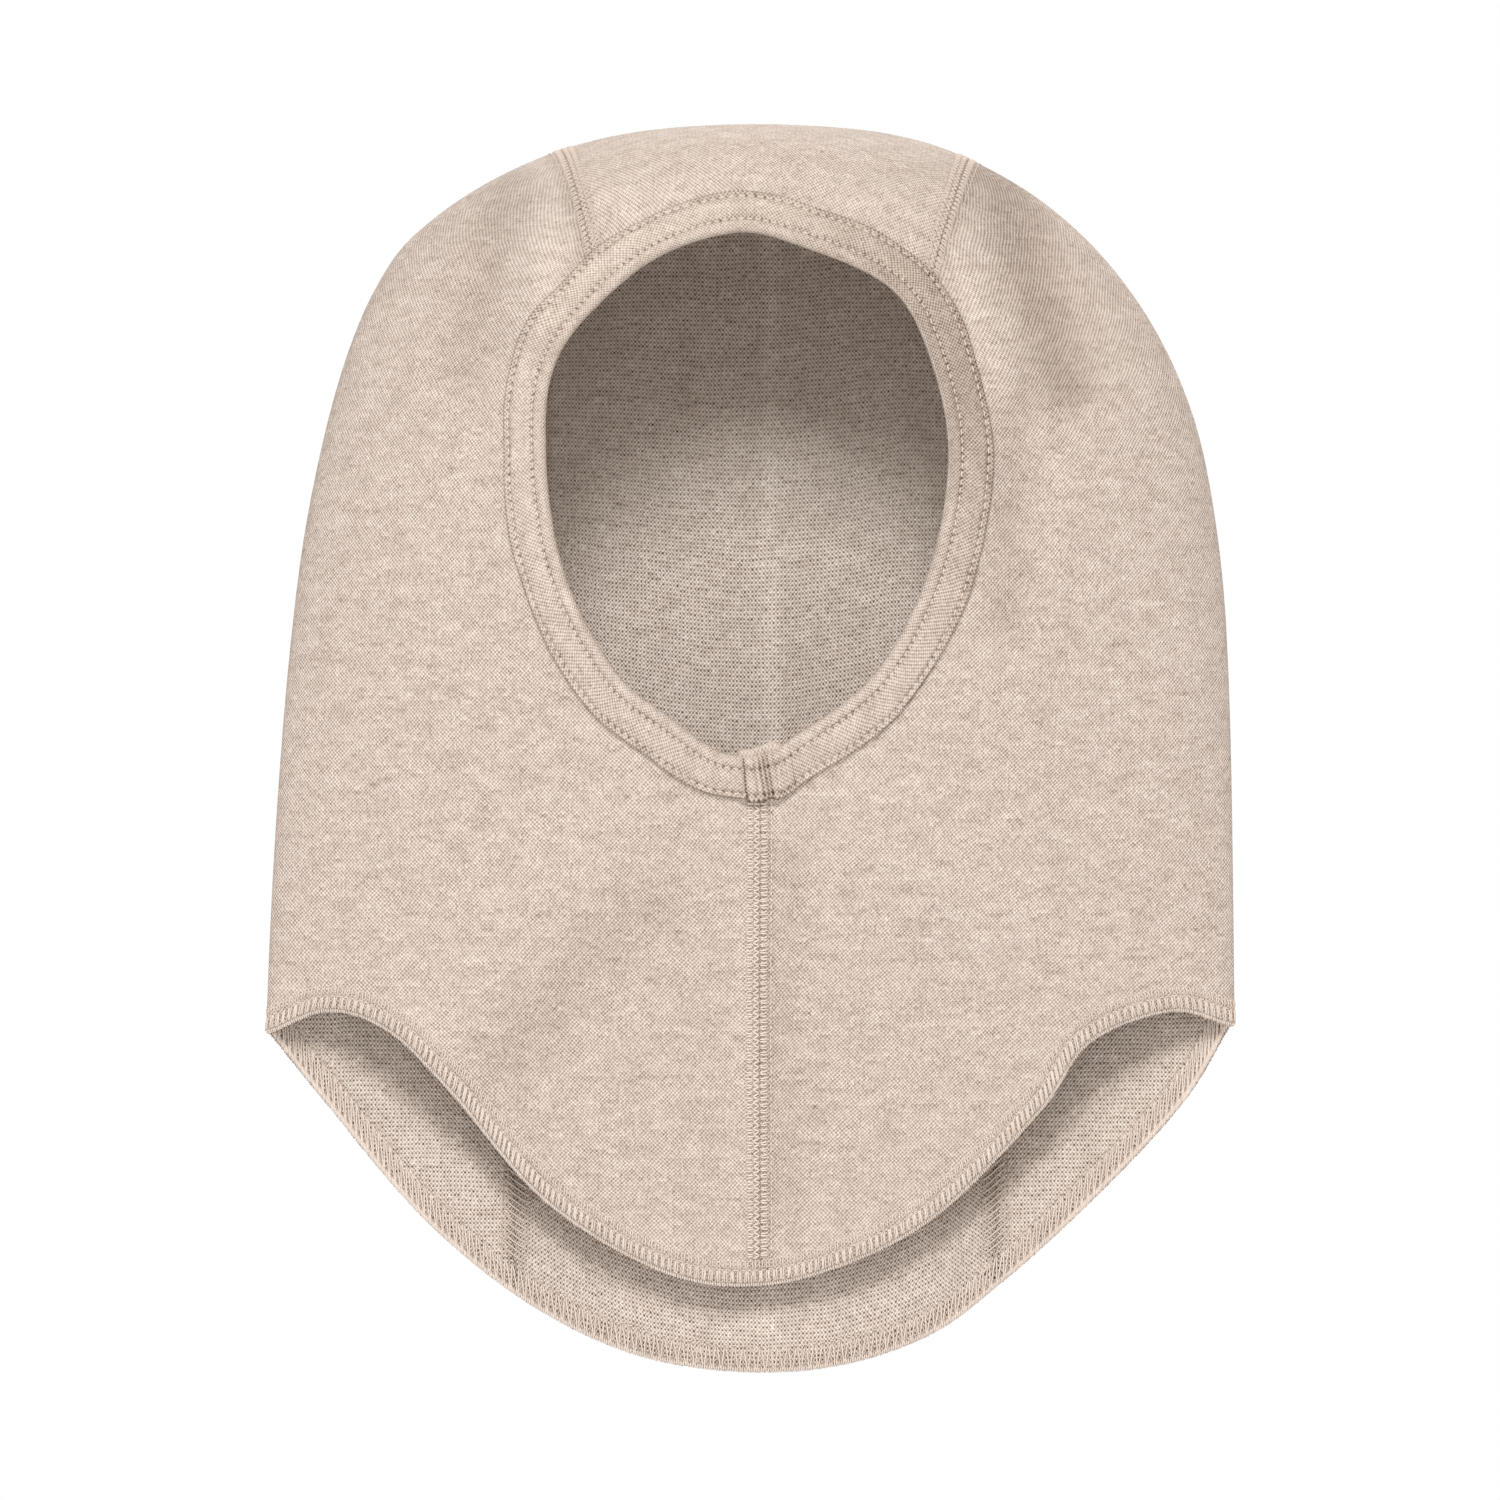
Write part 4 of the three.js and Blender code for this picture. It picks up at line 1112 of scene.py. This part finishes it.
# ---------------------------------------------------------------------------------------------------------
# The neck edge, overlocked all round: bundles of thread wrap the cut edge and fan in to a needle line, short
# pairs of strands go on to a second line, and inside the loops stand as narrow inverted Vs.
# ---------------------------------------------------------------------------------------------------------
HEM_STITCH, INNER_STITCH = 0.00177, 0.0022
HEM_LINES = (0.0042, 0.0066)  # the two needle lines, in from the edge
WRAP_RADIUS, FAN_RADIUS, LEG_RADIUS, LINE_RADIUS = 0.00025, 0.00018, 0.00019, 0.00014
neck_length, neck_angle = edge_run(in_from_neck, HEM_WIDTH / 2)


def on_neck(along, reach, lift):
    """A point near the neck edge: metres round it, in from it and off the cloth."""
    along, reach, lift = np.broadcast_arrays(along, reach, lift)
    angle = neck_angle(along)
    return cloth(angle, in_from_neck(angle, reach), lift)


def round_the_neck(stitch):
    """Places of stitches all round the neck edge, a whole number of them, about `stitch` long."""
    count = int(round(neck_length / stitch))
    return np.arange(count) * neck_length / count


near, far = HEM_LINES
hem_places, inner_places = round_the_neck(HEM_STITCH), round_the_neck(INNER_STITCH)
runs = []
for i, (spread, foot) in enumerate([(-0.00059, -0.00034), (0.0, 0.0), (0.00059, 0.00034)]):
    wrap = [
        (spread, 0.0013, 0.00060), (spread, 0.0008, 0.00086), (spread + 0.0001, 0.00027, 0.00050),
        (spread + 0.0001, 0.00027, -0.00050), (spread + 0.0001, 0.0010, -0.00088), (spread, 0.0018, -0.0006),
    ]
    fan = [
        (spread * 0.8, 0.0008, 0.00084), (spread * 0.7, 0.0014, 0.00090),
        ((spread + foot) / 2.6, 0.0026, 0.00094),
        (foot, near - 0.0003, 0.00082), (foot, near + 0.0001, 0.0004),
    ]
    runs.append(sew(on_neck, hem_places, wrap, WRAP_RADIUS, 40 + i, sides=5))
    runs.append(sew(on_neck, hem_places, fan, FAN_RADIUS, 45 + i, sides=4, loose=0.00014))
for i, (foot, head) in enumerate([(-0.0003, -0.0004), (0.0003, 0.0003)]):
    post = [
        (foot, near + 0.0002, 0.0004), (foot, near + 0.0005, 0.00080),
        ((foot + head) / 2, (near + far) / 2, 0.00088),
        (head, far - 0.0003, 0.0008), (head, far + 0.0001, 0.0004),
    ]
    runs.append(sew(on_neck, hem_places, post, FAN_RADIUS, 50 + i, sides=4, loose=0.00012))
for i, lean in enumerate((-1, 1)):
    leg = [
        (lean * 0.0010, 0.0006, -0.0007), (lean * 0.0009, 0.0012, -0.00086), (lean * 0.0006, 0.0035, -0.0009),
        (lean * 0.00025, 0.0055, -0.0009), (lean * 0.00005, 0.0064, -0.0007),
    ]
    runs.append(sew(on_neck, inner_places, leg, LEG_RADIUS, 60 + i, sides=5))
tie = [
    (-0.0007, 0.0064, -0.0006), (-0.0003, 0.0065, -0.00084),
    (0.0003, 0.0065, -0.00084), (0.0007, 0.0064, -0.0006),
]
runs.append(sew(on_neck, inner_places, tie, FAN_RADIUS, 66, sides=5))
thread_piece("hem_overlock_thread_stitches", "hem_overlock_thread", runs, thread)

runs = []
for i, line in enumerate(HEM_LINES):
    dash = [
        (0.0001, line, 0.0004), (0.0003, line, 0.00070), (0.0008, line, 0.0008),
        (0.0013, line, 0.0007), (0.00155, line, 0.0004),
    ]
    runs.append(sew(on_neck, hem_places, dash, LINE_RADIUS, 70 + i, sides=5))
thread_piece("hem_needle_thread_stitches", "hem_needle_thread", runs, thread)


# ---------------------------------------------------------------------------------------------------------
# Camera, soft light and a pale surround.
# ---------------------------------------------------------------------------------------------------------
VIEW_WIDTH = 0.372  # how much the view takes in at the hood
VIEW_ACROSS, VIEW_HEIGHT = -0.00125, -0.0627  # where it looks, level and straight on
CAMERA_DISTANCE = 5.0
camera_data = bpy.data.cameras.new("camera")
camera_data.sensor_width = 36
camera_data.lens = camera_data.sensor_width * CAMERA_DISTANCE / VIEW_WIDTH
camera_data.clip_end = 50
camera = bpy.data.objects.new("camera", camera_data)
camera.location = (VIEW_ACROSS, -CAMERA_DISTANCE, VIEW_HEIGHT)
camera.rotation_euler = (np.pi / 2, 0, 0)
bpy.context.scene.collection.objects.link(camera)
bpy.context.scene.camera = camera


def softbox(name, place, size, watts):
    """A square area light at `place` that faces the hood."""
    data = bpy.data.lights.new(name, "AREA")
    data.shape = "SQUARE"
    data.size = size
    data.energy = watts
    lamp = bpy.data.objects.new(name, data)
    lamp.location = place
    lamp.rotation_euler = (Vector((0, 0, -0.05)) - Vector(place)).to_track_quat("-Z", "Y").to_euler()
    bpy.context.scene.collection.objects.link(lamp)


softbox("key_light", (-0.12, -2.0, 1.45), 0.7, 43)
softbox("front_fill", (0, -2.4, 0.1), 0.9, 3.3)
softbox("side_fill", (-2.2, -0.6, 0.4), 0.9, 1.0)
softbox("back_light", (0.3, 2.0, 1.45), 0.9, 40)

# The surround is white to the camera, and lights the hood softly and a little warmly.
SURROUND_LIGHT = (0.52, 0.485, 0.475, 1)
world = bpy.data.worlds.new("surround")
bpy.context.scene.world = world
world.use_nodes = True
ray = world.node_tree.nodes.new("ShaderNodeLightPath")
seen = mixed(world.node_tree, "MIX", ray.outputs["Is Camera Ray"], SURROUND_LIGHT, (1, 1, 1, 1))
link(world.node_tree, seen, world.node_tree.nodes["Background"].inputs["Color"])
bpy.context.scene.view_settings.view_transform = "Standard"

# A pale floor that brightens into the surround with distance.
FLOOR_HEIGHT, FLOOR_REACH, FLOOR_LINES = -0.36, 6.0, 25
FADE_START, FADE_END = 1.2, 2.8
lines = np.linspace(-FLOOR_REACH, FLOOR_REACH, FLOOR_LINES)
x, y = np.meshgrid(lines, lines)
floor_points = np.stack([x, y, np.full_like(x, FLOOR_HEIGHT)], -1)
floor_faces = [grid_quads(FLOOR_LINES, FLOOR_LINES, flip=True)]
floor = mesh_piece("floor", floor_points, floor_faces, np.stack([x, y], -1))
paint = bpy.data.materials.new("floor_paint")
paint.use_nodes = True
tree = paint.node_tree
away = tree.nodes.new("ShaderNodeVectorMath")
away.operation = "LENGTH"
tree.links.new(tree.nodes.new("ShaderNodeTexCoord").outputs["Object"], away.inputs[0])
far_off = tree.nodes.new("ShaderNodeMapRange")
far_off.interpolation_type = "SMOOTHSTEP"
far_off.inputs["From Min"].default_value = FADE_START
far_off.inputs["From Max"].default_value = FADE_END
tree.links.new(away.outputs["Value"], far_off.inputs["Value"])
near_colour = mixed(tree, "MIX", far_off.outputs[0], (0.86, 0.86, 0.86, 1), (0, 0, 0, 1))
shader = tree.nodes["Principled BSDF"]
tree.links.new(near_colour, shader.inputs["Base Color"])
shader.inputs["Specular IOR Level"].default_value = 0
shader.inputs["Roughness"].default_value = 1
shader.inputs["Emission Color"].default_value = (1, 1, 1, 1)
tree.links.new(far_off.outputs[0], shader.inputs["Emission Strength"])
floor.data.materials.append(paint)
